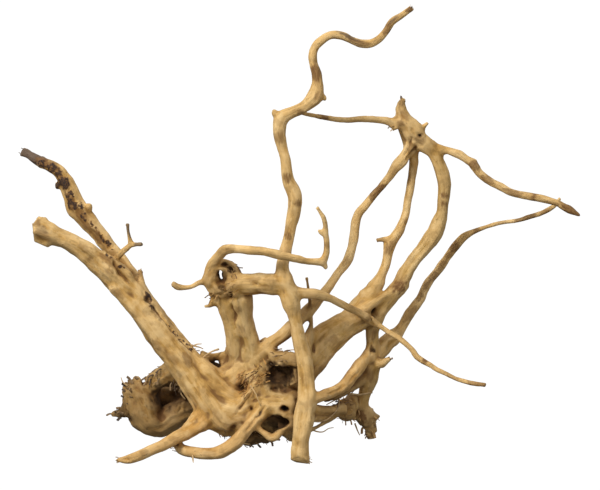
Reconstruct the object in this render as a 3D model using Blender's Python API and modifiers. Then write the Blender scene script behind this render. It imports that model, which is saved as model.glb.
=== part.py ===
"""A branching root of pale driftwood, about 560 mm long and 450 mm high, stripped of its bark.

It grew as one piece, so it is one closed solid. Each limb is a curve that swells and thins
from point to point. The limbs are fused, hollowed where the wood has rotted out, reduced to
few faces, and cut flat where the feet stand on the ground.

A limb's points are laid out as the root is seen from the front and a little above: place
across, height in that view, depth away from the viewer, and half the limb's thickness, all
in millimetres. The function place turns them into a point in space.
"""

import math

import bmesh
import bpy
import numpy as np
from mathutils import Matrix, Vector

MM = 0.001
VIEW_TILT = math.radians(12)  # how far above the front view the heights are seen from

THINNEST = 1.7  # mm, the least half thickness that a twig keeps
SECTION_POINTS = 14  # round a limb
STEPS_A_SPAN = 3  # along a limb, between two of its points
TWIST_A_SPAN = 0.22  # radians that the section turns from one point to the next
VOXEL = 1.5  # mm, the grain at which the limbs are fused
SMOOTHING_ROUNDS = 3
SMOOTHING_LOSS = 0.55  # mm, what smoothing takes off a half thickness, given back beforehand
FILLET_REACH = 6.0  # mm, how far from another limb's surface a fillet starts
FILLET_ROUNDS = 14
FILLET_THINNEST = (1.5, 5.0)  # mm, half thicknesses with no fillet and with a whole one
FILLET_CHUNKS = 24  # groups of vertices worked on at a time
LUMP_SIZE = 26.0  # mm, between the swellings that weathering leaves
LUMP_HEIGHT = 0.9  # mm
TRIANGLES = 11400
GROUND_SIDE = 900.0  # mm, of the block whose top face is the ground
WOOD_COLOUR = (0.58, 0.36, 0.17, 1.0)
WOOD_ROUGHNESS = 0.72

# Every limb, as rows of across, seen height, depth and half thickness
LIMBS = {
    # The front stem, from its sawn foot up to the tip that bends over to the right
    "stem": [
        (1, -24, -78, 8.5), (0, -14, -77, 9), (-1, -5, -76, 8.5), (0, 5, -75, 8), (1, 15, -74, 8.3),
        (3, 25, -72, 8.5), (6, 45, -69, 8.5), (6, 65, -65, 7.8), (4, 85, -60, 6.9), (-1, 105, -56, 6.3),
        (-5, 125, -53, 6.5), (-9, 143, -51, 8.5), (-15, 162, -49, 8.5), (-17, 175, -47, 7),
        (-14, 195, -46, 6), (-10, 215, -45, 5.2), (-6, 235, -44, 6.5), (-5, 245, -43, 6.5),
        (-12, 265, -41, 5.4), (-15, 285, -39, 4.8), (-17, 295, -37, 5), (-21, 315, -35, 6),
        (-18, 326, -33, 6.6), (-9, 331, -32, 5.6), (0, 335, -30, 5.6), (9, 341, -29, 6.2),
        (15, 348, -28, 7.2), (17, 360, -26, 5.6), (16, 370, -24, 5), (13, 379, -22, 4.1),
        (12, 387, -21, 4.1), (14, 395, -19, 4.1), (20, 402, -17, 4.2), (30, 408, -14, 4.1),
        (42, 407, -11, 4), (51, 403, -8, 3.6), (60, 400, -5, 4), (69, 400, -3, 4), (78, 405, -1, 3.6),
        (84, 412, 1, 3.5), (91, 422, 3, 3.4), (100, 428, 5, 3), (111, 436, 7, 2.6),
    ],
    # The arm from the stem to the hollow head
    "arm": [(-13, 160, -49, 9.5), (-25, 161, -46, 10.5), (-36, 162, -42, 9.6), (-46, 162, -38, 9.6),
        (-57, 162, -34, 10), (-68, 156, -30, 12)],
    # The post under the head, in two strands
    "post_right": [(-62, 150, -28, 12), (-60, 135, -26, 10.5), (-58, 125, -25, 9), (-55, 115, -24, 9),
        (-51, 105, -23, 9), (-50, 96, -22, 8.5), (-51, 84, -20, 9)],
    "post_left": [(-76, 150, -24, 9), (-74, 138, -23, 7), (-70, 125, -22, 7), (-67, 115, -21, 7.5),
        (-66, 105, -20, 7.5), (-65, 95, -18, 7), (-65, 85, -16, 6), (-64, 72, -14, 7)],
    # The loop twig, from the head over the arm and in front of the stem, with its upward curl
    "loop_twig": [
        (-89, 172, -26, 6), (-89.5, 178, -29, 5), (-86.5, 183, -33, 5), (-81, 189.5, -39, 4.8),
        (-75, 195.5, -46, 4.8), (-68, 197, -52, 4.8), (-60, 196.5, -57, 4.3), (-50, 195.5, -61, 4.3),
        (-40, 194.5, -64, 4.3), (-30, 193, -66, 4.1), (-22, 191, -66, 4.3), (-12, 188.5, -66, 4),
        (-3, 186.5, -64, 3.7), (6, 184.5, -61, 3.1), (15, 184, -58, 3.3), (22, 184, -55, 3.5),
        (25, 191, -54, 3), (26, 200, -55, 2.6), (25.5, 210, -56, 2.4), (24.5, 220, -57, 2.3),
        (23, 227, -58, 2), (19.5, 233, -58, 1.7), (16, 238, -58, 1.2),
    ],
    "loop_spur": [(22, 184, -55, 3.2), (26, 177, -54, 1.6)],
    "curl_spur": [(25.5, 211, -56, 2), (20, 212, -57, 1.7), (18, 216, -57, 1.2)],
    "head_twig": [(-88, 166, -28, 4.5), (-96, 164, -31, 2.8), (-102, 162.5, -34, 2.5),
        (-108, 159, -36, 2.1), (-115, 158, -38, 2.3), (-122, 159, -40, 3), (-128, 163, -42, 2.2)],
    "head_stub": [(-80, 148, -24, 6), (-87, 143, -25, 4), (-91, 139.5, -27, 2), (-96, 139.5, -29, 1.3)],
    "head_jaw": [(-80, 158, -26, 6), (-87, 153, -26, 4.5), (-90, 149, -27, 2.5)],
    # The crown at the upper right, from its horn down to where the big right limb starts
    "crown": [(104, 348, 38, 1.6), (101, 342, 39, 4), (101, 335, 39, 5.5), (104, 328, 39, 6.8),
        (108, 321, 40, 9), (114, 313, 40, 10), (120, 306, 40, 9.4), (127, 300, 40, 8.6),
        (134, 293, 40, 6.6)],
    "crown_back": [(101, 322, 44, 5), (107, 308, 47, 5.6), (110, 298, 48, 5.5), (114, 288, 48, 4.8)],
    "crown_thorn": [(122, 318, 40, 2.6), (128, 323.5, 40, 1.2)],
    "crown_collar": [(95, 320, 34, 4.5), (92.5, 316, 33, 2)],
    "bridge_twig": [(100, 324, 38, 6.5), (92, 323.5, 36, 5), (85, 325, 32, 3.9), (75, 326, 27, 3.3),
        (65, 326.5, 21, 3), (45, 325, 8, 2.8), (25, 327, -6, 2.5), (15, 328.5, -13, 2.4),
        (6, 330, -20, 2.1), (0, 331.5, -26, 1.8)],
    "upper_twig": [
        (132, 299, 40, 5), (140, 297, 39, 4.3), (150, 294.5, 37, 4), (160, 291, 35, 4.2),
        (167, 286, 34, 4.1), (173, 282, 33, 4.6), (177, 275, 31, 4), (183, 269, 30, 4),
        (192, 263, 28, 4), (202, 258, 26, 4.2), (210, 253.5, 24, 4), (220, 251, 22, 4),
        (232, 248.5, 20, 3.8), (243, 246.5, 18, 3.8), (252, 244, 16, 3.4), (258, 242, 15, 3.1),
        (264, 238.5, 14, 3.6), (270, 235.5, 13, 4), (276, 232, 12, 2.4), (280, 230, 12, 1),
    ],
    "upper_spur": [(173, 282, 33, 3.6), (176.5, 286.5, 34, 1.4)],
    # The big right limb, down to where it turns into the right post
    "right_limb": [
        (128, 301, 40, 7.5), (134, 294, 40, 6.8), (137, 285, 39, 6.3), (141, 275, 38, 6.5),
        (144, 265, 37, 6), (144.5, 255, 36, 5.8), (143.5, 245, 35, 5.8), (142.5, 235, 34, 5.6),
        (139.5, 225, 33, 6.3), (136, 215, 31, 7), (130, 205, 29, 7.2), (124, 197, 27, 6.9),
        (116, 188, 25, 6.6), (110, 179, 23, 6.6), (104, 169, 21, 7), (100, 160, 19, 8),
        (93, 152, 17, 8.2), (85, 143, 15, 8), (79, 134, 13, 7.6), (76, 124, 12, 6.6), (72, 114, 12, 6.5),
        (72, 100, 12, 6.5), (73, 90, 11, 6.6), (72, 80, 10, 7.4), (70, 70, 9, 8), (68, 60, 9, 7.4),
        (65, 50, 9, 6.2), (63, 40, 10, 6), (62.5, 32, 11, 6),
    ],
    "right_ridge": [(96, 157, 14, 4), (85, 150, 9, 4), (75, 143, 4, 4.2), (66, 137, 0, 5), (58, 130, -2, 6)],
    "right_knob": [(103, 160, 18, 5), (108, 156, 17, 3.6)],
    # The two limbs between the crown and the base
    "inner_limb": [
        (112, 305, 40, 5), (107, 294, 38, 5), (101, 284, 36, 6), (96, 279, 34, 5.2),
        (90, 270, 32, 4), (80, 258, 29, 4), (72, 249, 26, 4), (65, 240, 23, 4.2), (58, 231, 20, 4.3),
        (55.5, 223, 18, 4.5), (54.5, 215, 16, 4.3), (53, 205, 13, 4.4), (52, 200, 12, 4),
        (49.5, 191, 9, 4.2), (46, 183, 6, 4.5), (40, 175, 2, 4.5), (35, 168, -2, 4.5), (30, 161, -6, 4.5),
        (25, 154, -10, 4.8), (15, 143, -16, 5.5), (8, 135, -20, 6), (0, 127, -22, 6), (-12, 116, -24, 6.5),
        (-20, 109, -25, 6.5), (-28, 103, -25, 6.7), (-36, 95, -24, 7.6), (-43, 88, -22, 9),
        (-50, 81, -20, 10), (-60, 73, -17, 11), (-72, 64, -14, 12),
    ],
    "middle_limb": [
        (116, 302, 44, 5), (114, 292, 46, 4.6), (114, 283, 46, 4.5), (113, 275, 45, 4.4),
        (111.5, 265, 44, 4.2), (110, 255, 42, 4.2), (108, 245, 40, 4.2), (106.5, 235, 38, 4.2),
        (103.5, 225, 35, 4.3), (99, 215, 32, 4.6), (94, 207, 29, 5.2), (90, 200, 27, 5.8),
        (88, 190, 24, 4.9), (86, 180, 22, 4.8), (82, 170, 19, 5.2), (78, 162, 17, 6.8),
        (71, 153, 14, 7), (65, 147, 11, 7), (57, 139, 8, 7.5), (48, 128, 4, 8),
    ],
    "middle_stub": [(90, 206, 28, 3), (83, 206, 26, 2.1), (76, 205, 25, 1.4)],
    "middle_spur": [(69, 153, 12, 3.5), (59, 153, 9, 1.4)],
    # The thick lower trunk between the right limbs and the base, in two strands
    "lower_trunk": [(70, 130, 8, 9), (60, 126, 6, 10.5), (52, 121, 3, 11), (40, 113, -2, 11.5),
        (30, 104, -7, 12), (20, 94, -12, 12), (9, 82, -16, 12.4), (-2, 70, -20, 14),
        (-15, 58, -20, 15), (-28, 46, -18, 17)],
    "lower_trunk_top": [(56, 130, 6, 8), (44, 124, 3, 8.5), (30, 118, -3, 7.4), (18, 111, -9, 8),
        (9, 100, -14, 9), (2, 86, -18, 10)],
    "lower_trunk_left": [(10.5, 129, -20, 1.7), (10.5, 120, -20, 2.4), (9, 112, -21, 4.2), (7, 102, -22, 6),
        (4, 88, -26, 8), (-4, 74, -34, 9), (-10, 60, -42, 10)],
    "thin_twig": [(6, 169, -34, 1.3), (8, 154, -32, 1.4), (9, 138, -26, 1.6), (6, 128, -22, 2)],
    "long_twig": [
        (-8, 153, -49, 6), (5, 152.5, -46, 5), (15, 152, -44, 5), (22, 150, -41, 4.5), (30, 147, -37, 3.7),
        (40, 142, -31, 3.5), (50, 137, -25, 3.6), (60, 132, -18, 3.8), (68, 127, -12, 4.2),
        (75, 122, -9, 3.6), (80, 119, -9, 2.8), (90, 112, -11, 2.6), (100, 106, -13, 3),
        (107, 100, -15, 2.8),
        (112, 95, -16, 2.8), (116, 89, -18, 2.8), (122, 84.5, -20, 2.7), (130, 80, -23, 2.5),
        (137, 75.5, -26, 2.5), (145, 72, -29, 2.3), (155, 67, -33, 2.3), (165, 64, -37, 2.2),
        (175, 62, -41, 2.2), (185, 61, -45, 1.9),
    ],
    "outer_stem": [
        (70, 84, 14, 7), (79, 93, 19, 7.4), (87, 102, 24, 7.2), (95, 108, 28, 6.6), (101, 115, 31, 5.5),
        (104, 120, 33, 5.1), (110, 131, 37, 5.4), (116, 139, 40, 5.1), (121, 146, 43, 4.9),
        (125, 155, 46, 4.6), (130, 164, 49, 4.3), (136, 171, 52, 4.1), (142, 179, 54, 4.2),
        (148, 188, 56, 4.1), (154, 196, 58, 4.2), (160, 203, 59, 4.1), (166, 209, 60, 3.9),
        (173, 213, 60, 3.2), (180, 216, 60, 2.5), (190, 219.5, 60, 2.3), (200, 222.5, 59, 2.3),
        (210, 224, 58, 2.1), (220, 225.5, 57, 2.3), (230, 228.5, 56, 2.5), (240, 231.5, 54, 2.3),
        (250, 236, 52, 2.3), (256, 240, 50, 2.2), (262, 248, 48, 1.2),
    ],
    "post_stub": [(74, 83, 8, 4.5), (81, 81, 5, 4.3), (86, 84, 3, 3.2), (91, 87, 2, 1.6)],
    # The roots that stand in front between the stem and the right post
    "right_root": [(70, 92, 6, 6), (64, 85, -1, 6), (58, 78, -9, 6.5), (52, 70, -19, 6.5),
        (45, 61.5, -31, 6),
        (35, 55.5, -44, 5.6), (25, 52, -56, 5.4), (16, 49, -66, 5.2), (6, 46, -70, 6)],
    "small_root_1": [(8, 38, -68, 5), (20, 36, -58, 4.6), (32, 36, -44, 4.6), (42, 37, -26, 6)],
    "small_root_2": [(6, 28, -72, 3.4), (20, 27, -58, 2.1), (35, 29, -36, 2), (42, 33, -16, 3)],
    "small_root_3": [(4, 16, -76, 3), (12, 17.5, -66, 1.8), (22, 22, -52, 1.6), (34, 28, -36, 2)],
    "loose_strip": [(64, 66, 4, 5), (56, 60, -6, 4), (46, 54, -18, 3.4), (34, 49, -34, 3),
        (24, 46, -47, 2.6)],
    "right_foot": [(62, 34, 12, 8), (65, 27, 15, 9.5), (68, 19, 18, 7), (70, 10, 21, 4), (71, 1, 22, 3.4)],
    "right_foot_front": [(48, 28, 10, 3), (58, 28, 12, 5), (70, 28, 16, 5), (80, 26, 20, 2)],
    # The upper left limb, which still has bark, and the ridge that it makes down the left trunk
    "bark_limb": [
        (-112, 95, -4, 5.5), (-126, 110, -3, 6), (-140, 127, -1, 7), (-152, 143, 1, 7), (-161, 157, 3, 6.5),
        (-166, 166, 6, 6.2), (-172, 175, 9, 6.2), (-180, 185, 12, 6.2), (-190, 195, 15, 6.9),
        (-197, 204, 17, 7), (-204, 213, 19, 6.8), (-212, 223, 21, 7.5), (-220, 232, 23, 8.2),
        (-226, 240, 25, 8.3), (-229, 248, 26, 7.3), (-233, 258, 27, 7), (-237, 267, 28, 6.6),
        (-243, 275, 29, 6), (-250, 279.5, 30, 5.7), (-260, 284, 32, 5.4), (-270, 289, 34, 4.2),
        (-276, 291, 35, 2.6), (-279, 292, 35, 1.2),
    ],
    "bark_limb_prong": [(-268, 289, 34, 3), (-273, 293, 35, 1.8), (-276, 296, 35, 1)],
    # The left trunk, from its foot up to the broken end, in three strands
    "trunk": [
        (-65, 18, -25, 12), (-75, 26, -24, 15), (-87, 41, -22, 17), (-98, 54, -20, 16),
        (-111, 74, -18, 15.5),
        (-126, 94, -16, 15), (-138, 108, -15, 14.5), (-149, 124, -14, 14), (-160, 141, -13, 13.5),
        (-170, 153, -13, 13), (-185, 169, -14, 13), (-195, 179, -15, 12), (-205, 186, -16, 10.5),
        (-215, 194, -17, 9.5), (-225, 201, -18, 8.6), (-235, 206, -19, 7.8), (-245, 209.5, -20, 9),
        (-255, 212, -21, 10.4), (-262, 216, -22, 10),
    ],
    "trunk_front": [(-70, 22, -32, 11.5), (-80, 28, -33, 13), (-90, 42, -31, 12), (-104, 60, -29, 10),
        (-122, 84, -26, 8), (-142, 108, -24, 7), (-158, 128, -23, 7), (-172, 144, -22, 7),
        (-188, 160, -22, 6)],
    "broken_end": [(-250, 203, -22, 7), (-258, 203, -23, 5), (-264, 207, -24, 3)],
    "broken_end_top": [(-250, 216, -18, 7), (-259, 222, -18, 5.5), (-264, 227, -18, 3)],
    "trunk_spike": [(-162, 150, -8, 6), (-161, 164, -8, 3.4), (-161, 173, -8, 1.4)],
    "side_twig": [(-188, 183, -10, 4), (-183, 187, -12, 3.4), (-179, 192, -16, 3), (-173, 197, -20, 3),
        (-169, 200.5, -23, 2.6)],
    "side_twig_up": [(-169, 202, -23, 2.4), (-171, 212, -25, 1.8), (-172, 222, -27, 1.2)],
    "side_twig_out": [(-169, 200.5, -23, 2.4), (-163, 201, -27, 2.1), (-157, 201, -31, 1.9)],
    # The roots in front on the left
    "front_root": [(-88, 42, -27, 13), (-96, 28, -32, 11), (-106, 19, -38, 8.6), (-115, 13, -46, 7.2),
        (-125, 8, -55, 6.2), (-135, 2, -63, 6), (-150, -4.5, -72, 5.6), (-160, -8.8, -79, 5.2),
        (-170, -12, -82, 4.6),
        (-178, -12.8, -81, 2.8), (-183, -13, -80, 1.4)],
    "middle_root": [(-30, 42, -36, 7), (-40, 31, -43, 6.5), (-48, 23, -49, 6), (-55, 15, -55, 6.2),
        (-64, 4.6, -60, 6.5), (-72, -2, -63, 6.2), (-85, -7.2, -64, 6), (-95, -7.6, -62, 5.8),
        (-105, -6.6, -58, 5.6), (-115, -4.6, -53, 5.4), (-123, -1.6, -48, 4.6)],
    "root_fray": [(-120, -2.5, -49, 3), (-129, 1.5, -46, 1.8)],
    # The base that all of it grows from, and what stands behind it out of sight
    "base": [(-46, 80, -18, 15), (-38, 66, -17, 20), (-31, 48, -16, 23), (-27, 32, -14, 22),
        (-24, 21, -12, 16)],
    "base_left": [(-80, 28, -22, 15), (-66, 32, -20, 15), (-52, 34, -18, 17), (-38, 34, -16, 18)],
    "base_ridge": [(-67, 8, -30, 6), (-55, 20, -38, 5), (-42, 32, -42, 5.5), (-32, 42, -42, 6)],
    "trunk_skirt": [(-116, 88, -14, 11), (-104, 76, -16, 13), (-93, 66, -18, 14), (-82, 56, -19, 14.5),
        (-70, 47, -22, 14)],
    "trunk_flare": [(-102, 64, -18, 13), (-86, 52, -22, 14), (-70, 46, -24, 13), (-56, 44, -25, 12),
        (-44, 44, -26, 12)],
    "trunk_heel": [(-84, 42, -26, 14), (-73, 36, -30, 13.5), (-62, 33, -32, 12), (-50, 36, -32, 10)],
    "base_shelf": [(-44, 44, -30, 10), (-28, 42, -34, 12.5), (-14, 41, -38, 13), (-2, 44, -44, 9)],
    "base_brow": [(-30, 90, -22, 7), (-37, 78, -24, 8), (-42, 68, -28, 8), (-52, 64, -26, 9)],
    "cavity_back": [(-34, 86, -4, 11), (-20, 82, -6, 12), (-6, 78, -8, 12)],
    "base_rootlet": [(-47, 22, -44, 4), (-37, 13, -49, 3.4), (-28, 8, -50, 4), (-20, 14, -50, 3.6),
        (-13, 22, -50, 4)],
    "base_small_root": [(-68, 32, -38, 4.5), (-58, 43, -38, 4.5), (-48, 55, -37, 4.5), (-42, 65, -32, 5)],
    "inner_foot": [(-28, 100, -20, 9), (-42, 86, -16, 12), (-58, 76, -14, 13), (-76, 68, -12, 12)],
    "base_bottom": [(-66, 13, -14, 10), (-54, 11, -16, 10), (-42, 10.5, -16, 9.6), (-32, 12, -16, 9)],
    "base_spur": [(-30, 14, -22, 7), (-28, 6, -26, 4), (-28, 2.5, -28, 1.8)],
    "base_front": [(-12, 34, -46, 9), (-14, 22, -42, 10), (-10, 13, -40, 7.5), (-8, 8.5, -44, 5.5)],
    "base_top": [(-30, 90, -30, 6), (-14, 88, -36, 6.5), (0, 85, -44, 7)],
    "back_root": [(-30, 46, 0, 18), (-34, 45, 24, 15), (-38, 42, 44, 12), (-40, 36, 60, 10),
        (-40, 27, 74, 8),
        (-38, 18, 82, 6)],
    "back_root_right": [(-22, 46, 4, 15), (-10, 43, 26, 11), (-4, 40, 44, 8.5), (-6, 38, 58, 6),
        (-10, 38, 68, 4),
        (-14, 40, 74, 2)],
    "valley": [(-98, 84, 0, 7), (-88, 74, 4, 9), (-76, 64, 4, 11), (-62, 60, 0, 12), (-50, 60, -6, 12)],
    "post_tie": [(-100, 88, -8, 6), (-86, 88, -4, 3.6), (-76, 89, -6, 4.4), (-66, 86, -12, 5.5)],
    # The broken slab and the curled log behind the left trunk
    "slab": [(-118, 84, 2, 9), (-128, 75, 10, 9), (-140, 66, 17, 9), (-150, 58, 22, 9)],
    "slab_lower": [(-112, 70, 2, 9), (-126, 64, 12, 8), (-140, 58, 20, 8), (-156, 52, 24, 8)],
    "curled_log": [(-173, 61, 22, 7), (-168, 52, 22, 12.5), (-162, 41, 22, 16.5), (-155, 26, 24, 18),
        (-142, 20, 26, 15.5), (-126, 29, 24, 14), (-113, 36, 18, 12), (-98, 40, 4, 12)],
    "log_back": [(-150, 48, 36, 10), (-134, 46, 40, 11), (-118, 48, 34, 11), (-104, 50, 18, 12)],
    "log_spike": [(-172, 36, 24, 7), (-182, 30.5, 25, 4), (-188, 29, 26, 1.6)],
    "log_crest": [(-170, 58, 22, 5), (-177, 63, 22, 3.2)],
    "log_crest_right": [(-166, 60, 22, 5), (-164, 68, 22, 3)],
}
# The ring of wood round the eye of the hollow head
HEAD_RING_CENTRE = (-78, 168, -28)
HEAD_RING_RADII = (11.0, 10.5)  # mm, across and up
HEAD_RING_POINTS = 10
HEAD_RING_THICKNESS = 7.0
# Round knobs: across, seen height, depth and radius
KNOBS = [
    (47, 35, -4, 12), (52, 42, 2, 9), (-72, 94, -8, 5.5), (-78, 80, -6, 5), (-26, 331, -33, 3.6),
    (24, 346, -28, 3), (-20, 78, -34, 9), (-243, 260, 27, 3.2), (-212, 238, 22, 3.6),
]
# Hollows: where, half sizes across, deep and high, in the same view
HOLLOWS = {
    "head_eye": ((-80, 171, -28), (3.6, 30, 4.4)),
    "head_bowl": ((-80, 163, -40), (7.5, 9, 7)),
    "base_cavity": ((-21, 69, -44), (13.5, 20, 11)),
    "base_hole": ((-16, 37, -50), (5, 20, 3.4)),
    "base_shadow": ((-22, 24, -48), (12, 12, 7)),
    "trunk_hole": ((-152, 145, -20), (2.6, 12, 5)),
    "trunk_crotch": ((-176, 172, -4), (7, 20, 3)),
    "post_slot": ((73, 98, 4), (1.6, 6, 8)),
    "log_cavity": ((-133, 50, 16), (12, 16, 11)),
    "crown_knot": ((119, 310, 30), (2.4, 4, 2.4)),
}
HOLLOW_RINGS = 16


def place(across, seen, depth):
    """The point in space, in metres, that is seen at this place across and this height."""
    height = (seen - depth * math.sin(VIEW_TILT)) / math.cos(VIEW_TILT)
    return Vector((across, depth, height)) * MM


def section_outline():
    """A limb's cross-section, a round one with two shallow flutes, at a radius of one metre."""
    curve = bpy.data.curves.new("section", "CURVE")
    spline = curve.splines.new("POLY")
    spline.points.add(SECTION_POINTS - 1)
    spline.use_cyclic_u = True
    for number, point in enumerate(spline.points):
        angle = 2 * math.pi * number / SECTION_POINTS
        radius = 1 + 0.07 * math.cos(2 * angle) + 0.06 * math.cos(3 * angle + 1)
        point.co = (radius * math.cos(angle), radius * math.sin(angle), 0, 1)
    section = bpy.data.objects.new("section", curve)
    section.hide_render = True
    section.display_type = "WIRE"
    guides.objects.link(section)
    return section


def limb_mesh(name, rows):
    """A closed tube along the rows' smooth curve, as thick at each as the row says."""
    curve = bpy.data.curves.new(name, "CURVE")
    curve.dimensions = "3D"
    curve.bevel_mode = "OBJECT"
    curve.bevel_object = section
    curve.use_fill_caps = True
    curve.resolution_u = STEPS_A_SPAN
    spline = curve.splines.new("BEZIER")
    spline.bezier_points.add(len(rows) - 1)
    for number, (across, seen, depth, half_thickness) in enumerate(rows):
        point = spline.bezier_points[number]
        point.co = place(across, seen, depth)
        point.handle_left_type = point.handle_right_type = "AUTO"
        point.radius = max(half_thickness + SMOOTHING_LOSS, THINNEST) * MM
        point.tilt = TWIST_A_SPAN * number
    guide = bpy.data.objects.new(name, curve)
    guides.objects.link(guide)
    bpy.context.view_layer.update()
    graph = bpy.context.evaluated_depsgraph_get()
    mesh = bpy.data.meshes.new_from_object(guide.evaluated_get(graph))
    bpy.data.objects.remove(guide)
    return mesh


def head_ring():
    """The rows of the ring of wood round the head's eye, closed by overlapping its start."""
    across, seen, depth = HEAD_RING_CENTRE
    wide, high = HEAD_RING_RADII
    rows = []
    for number in range(HEAD_RING_POINTS + 2):
        angle = 2 * math.pi * number / HEAD_RING_POINTS
        rows.append((across + wide * math.cos(angle), seen + high * math.sin(angle), depth,
                     HEAD_RING_THICKNESS))
    return rows


def joined(meshes):
    """One mesh of all the limbs and knots, whose closed bodies still overlap."""
    body = bmesh.new()
    for mesh in meshes:
        body.from_mesh(mesh)
        bpy.data.meshes.remove(mesh)
    bmesh.ops.remove_doubles(body, verts=body.verts, dist=1e-6)
    for across, seen, depth, radius in KNOBS:
        spot = Matrix.Translation(place(across, seen, depth))
        bmesh.ops.create_icosphere(body, subdivisions=2, radius=radius * MM, matrix=spot)
    bmesh.ops.recalc_face_normals(body, faces=body.faces)
    mesh = bpy.data.meshes.new("driftwood")
    body.to_mesh(mesh)
    body.free()
    return mesh


def hollow_cutter():
    """One mesh of the ellipsoids that the hollows take out of the wood."""
    cutter = bmesh.new()
    for centre, (across, deep, high) in HOLLOWS.values():
        spot = Matrix.Translation(place(*centre)) @ Matrix.Diagonal((across * MM, deep * MM, high * MM, 1))
        bmesh.ops.create_uvsphere(cutter, u_segments=HOLLOW_RINGS, v_segments=HOLLOW_RINGS // 2,
                                  radius=1, matrix=spot)
    return helper("hollows", cutter)


def ground_cutter():
    """The block below the ground, which gives the feet their flat faces."""
    cutter = bmesh.new()
    side = GROUND_SIDE * MM
    spot = Matrix.Translation((0, 0, -side / 2)) @ Matrix.Scale(side, 4)
    bmesh.ops.create_cube(cutter, size=1, matrix=spot)
    return helper("ground", cutter)


def helper(name, shape):
    """A hidden object in the cutters' collection."""
    mesh = bpy.data.meshes.new(name)
    shape.to_mesh(mesh)
    shape.free()
    cutter = bpy.data.objects.new(name, mesh)
    cutter.hide_render = True
    cutter.display_type = "WIRE"
    guides.objects.link(cutter)
    return cutter


def cut_away(wood, cutter):
    """Takes the cutter's shape out of the wood."""
    cut = wood.modifiers.new(cutter.name, "BOOLEAN")
    cut.operation = "DIFFERENCE"
    cut.object = cutter


def limb_samples():
    """Points along every limb's middle, with the half thickness there and the limb's number."""
    samples = []
    for number, rows in enumerate(limbs.values()):
        for start, end in zip(rows, rows[1:]):
            for step in range(STEPS_A_SPAN):
                share = step / STEPS_A_SPAN
                row = [a + (b - a) * share for a, b in zip(start, end)]
                samples.append((*place(*row[:3]) / MM, row[3], number))
    return np.array(samples)


def fillet_weights(mesh):
    """For each vertex, how much is rounded over: all where two limbs meet, none on a lone one."""
    points = np.empty(3 * len(mesh.vertices))
    mesh.vertices.foreach_get("co", points)
    points = points.reshape(-1, 3) / MM
    samples = limb_samples()
    first_of_limb = np.searchsorted(samples[:, 4], range(len(limbs)))
    weights = []
    for some in np.array_split(points, FILLET_CHUNKS):
        away = np.linalg.norm(some[:, None] - samples[None, :, :3], axis=2) - samples[:, 3]
        to_limbs = np.minimum.reduceat(away, first_of_limb, axis=1)
        second = np.partition(to_limbs, 1, axis=1)[:, 1]
        half_thickness = samples[away.argmin(axis=1), 3]
        nearness = np.clip(1 - second / FILLET_REACH, 0, 1)
        weights.append(nearness * np.interp(half_thickness, FILLET_THINNEST, (0, 1)))
    return np.concatenate(weights)


def add_fillets(wood):
    """Rounds over the creases between the limbs."""
    group = wood.vertex_groups.new(name="fillets")
    for number, weight in enumerate(fillet_weights(wood.data)):
        if weight > 0:
            group.add([number], weight, "REPLACE")
    fillets = wood.modifiers.new("fillets", "SMOOTH")
    fillets.vertex_group = group.name
    fillets.factor = 0.5
    fillets.iterations = FILLET_ROUNDS


def settle(wood):
    """Applies the modifiers that the object has so far."""
    graph = bpy.context.evaluated_depsgraph_get()
    mesh = bpy.data.meshes.new_from_object(wood.evaluated_get(graph))
    wood.modifiers.clear()
    rough = wood.data
    wood.data = mesh
    bpy.data.meshes.remove(rough)


def driftwood_finish():
    """Pale, dry wood that has lost its bark."""
    finish = bpy.data.materials.new("driftwood")
    finish.use_nodes = True
    shader = finish.node_tree.nodes["Principled BSDF"]
    shader.inputs["Base Color"].default_value = WOOD_COLOUR
    shader.inputs["Roughness"].default_value = WOOD_ROUGHNESS
    shader.inputs["Metallic"].default_value = 0.0
    return finish


for leftover in list(bpy.data.objects):
    bpy.data.objects.remove(leftover)
parts = bpy.data.collections.new("driftwood")
guides = bpy.data.collections.new("cutters and guides")
bpy.context.scene.collection.children.link(parts)
bpy.context.scene.collection.children.link(guides)

section = section_outline()
limbs = dict(LIMBS, head_ring=head_ring())
driftwood = bpy.data.objects.new("driftwood", joined([limb_mesh(*limb) for limb in limbs.items()]))
parts.objects.link(driftwood)

fuse = driftwood.modifiers.new("fuse", "REMESH")
fuse.mode = "VOXEL"
fuse.voxel_size = VOXEL * MM
cut_away(driftwood, hollow_cutter())
even_out = driftwood.modifiers.new("even out", "REMESH")
even_out.mode = "VOXEL"
even_out.voxel_size = VOXEL * MM
settle(driftwood)

add_fillets(driftwood)
lumps = bpy.data.textures.new("lumps", "CLOUDS")
lumps.noise_scale = LUMP_SIZE * MM
weathering = driftwood.modifiers.new("weathering", "DISPLACE")
weathering.texture = lumps
weathering.texture_coords = "LOCAL"
weathering.strength = 2 * LUMP_HEIGHT * MM
smoothing = driftwood.modifiers.new("smoothing", "SMOOTH")
smoothing.factor = 0.5
smoothing.iterations = SMOOTHING_ROUNDS
settle(driftwood)

driftwood.data.calc_loop_triangles()
reduce = driftwood.modifiers.new("reduce", "DECIMATE")
reduce.ratio = TRIANGLES / len(driftwood.data.loop_triangles)
cut_away(driftwood, ground_cutter())
settle(driftwood)
driftwood.data.shade_smooth()
driftwood.data.materials.clear()
driftwood.data.materials.append(driftwood_finish())
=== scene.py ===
"""The looks of a branching root of pale driftwood, about 560 mm long and 450 mm high.

The root grew as one piece, so one fine mesh of the wood stands for the whole CAD solid, with the
scraps of bark in its relief. Rootlets and torn fibres stand on it as pieces of their own. Shapes
are worked out in millimetres and scaled to metres when a mesh is made.
"""

import itertools
import math

import bpy
import numpy as np
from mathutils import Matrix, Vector, kdtree
from mathutils.bvhtree import BVHTree


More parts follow.
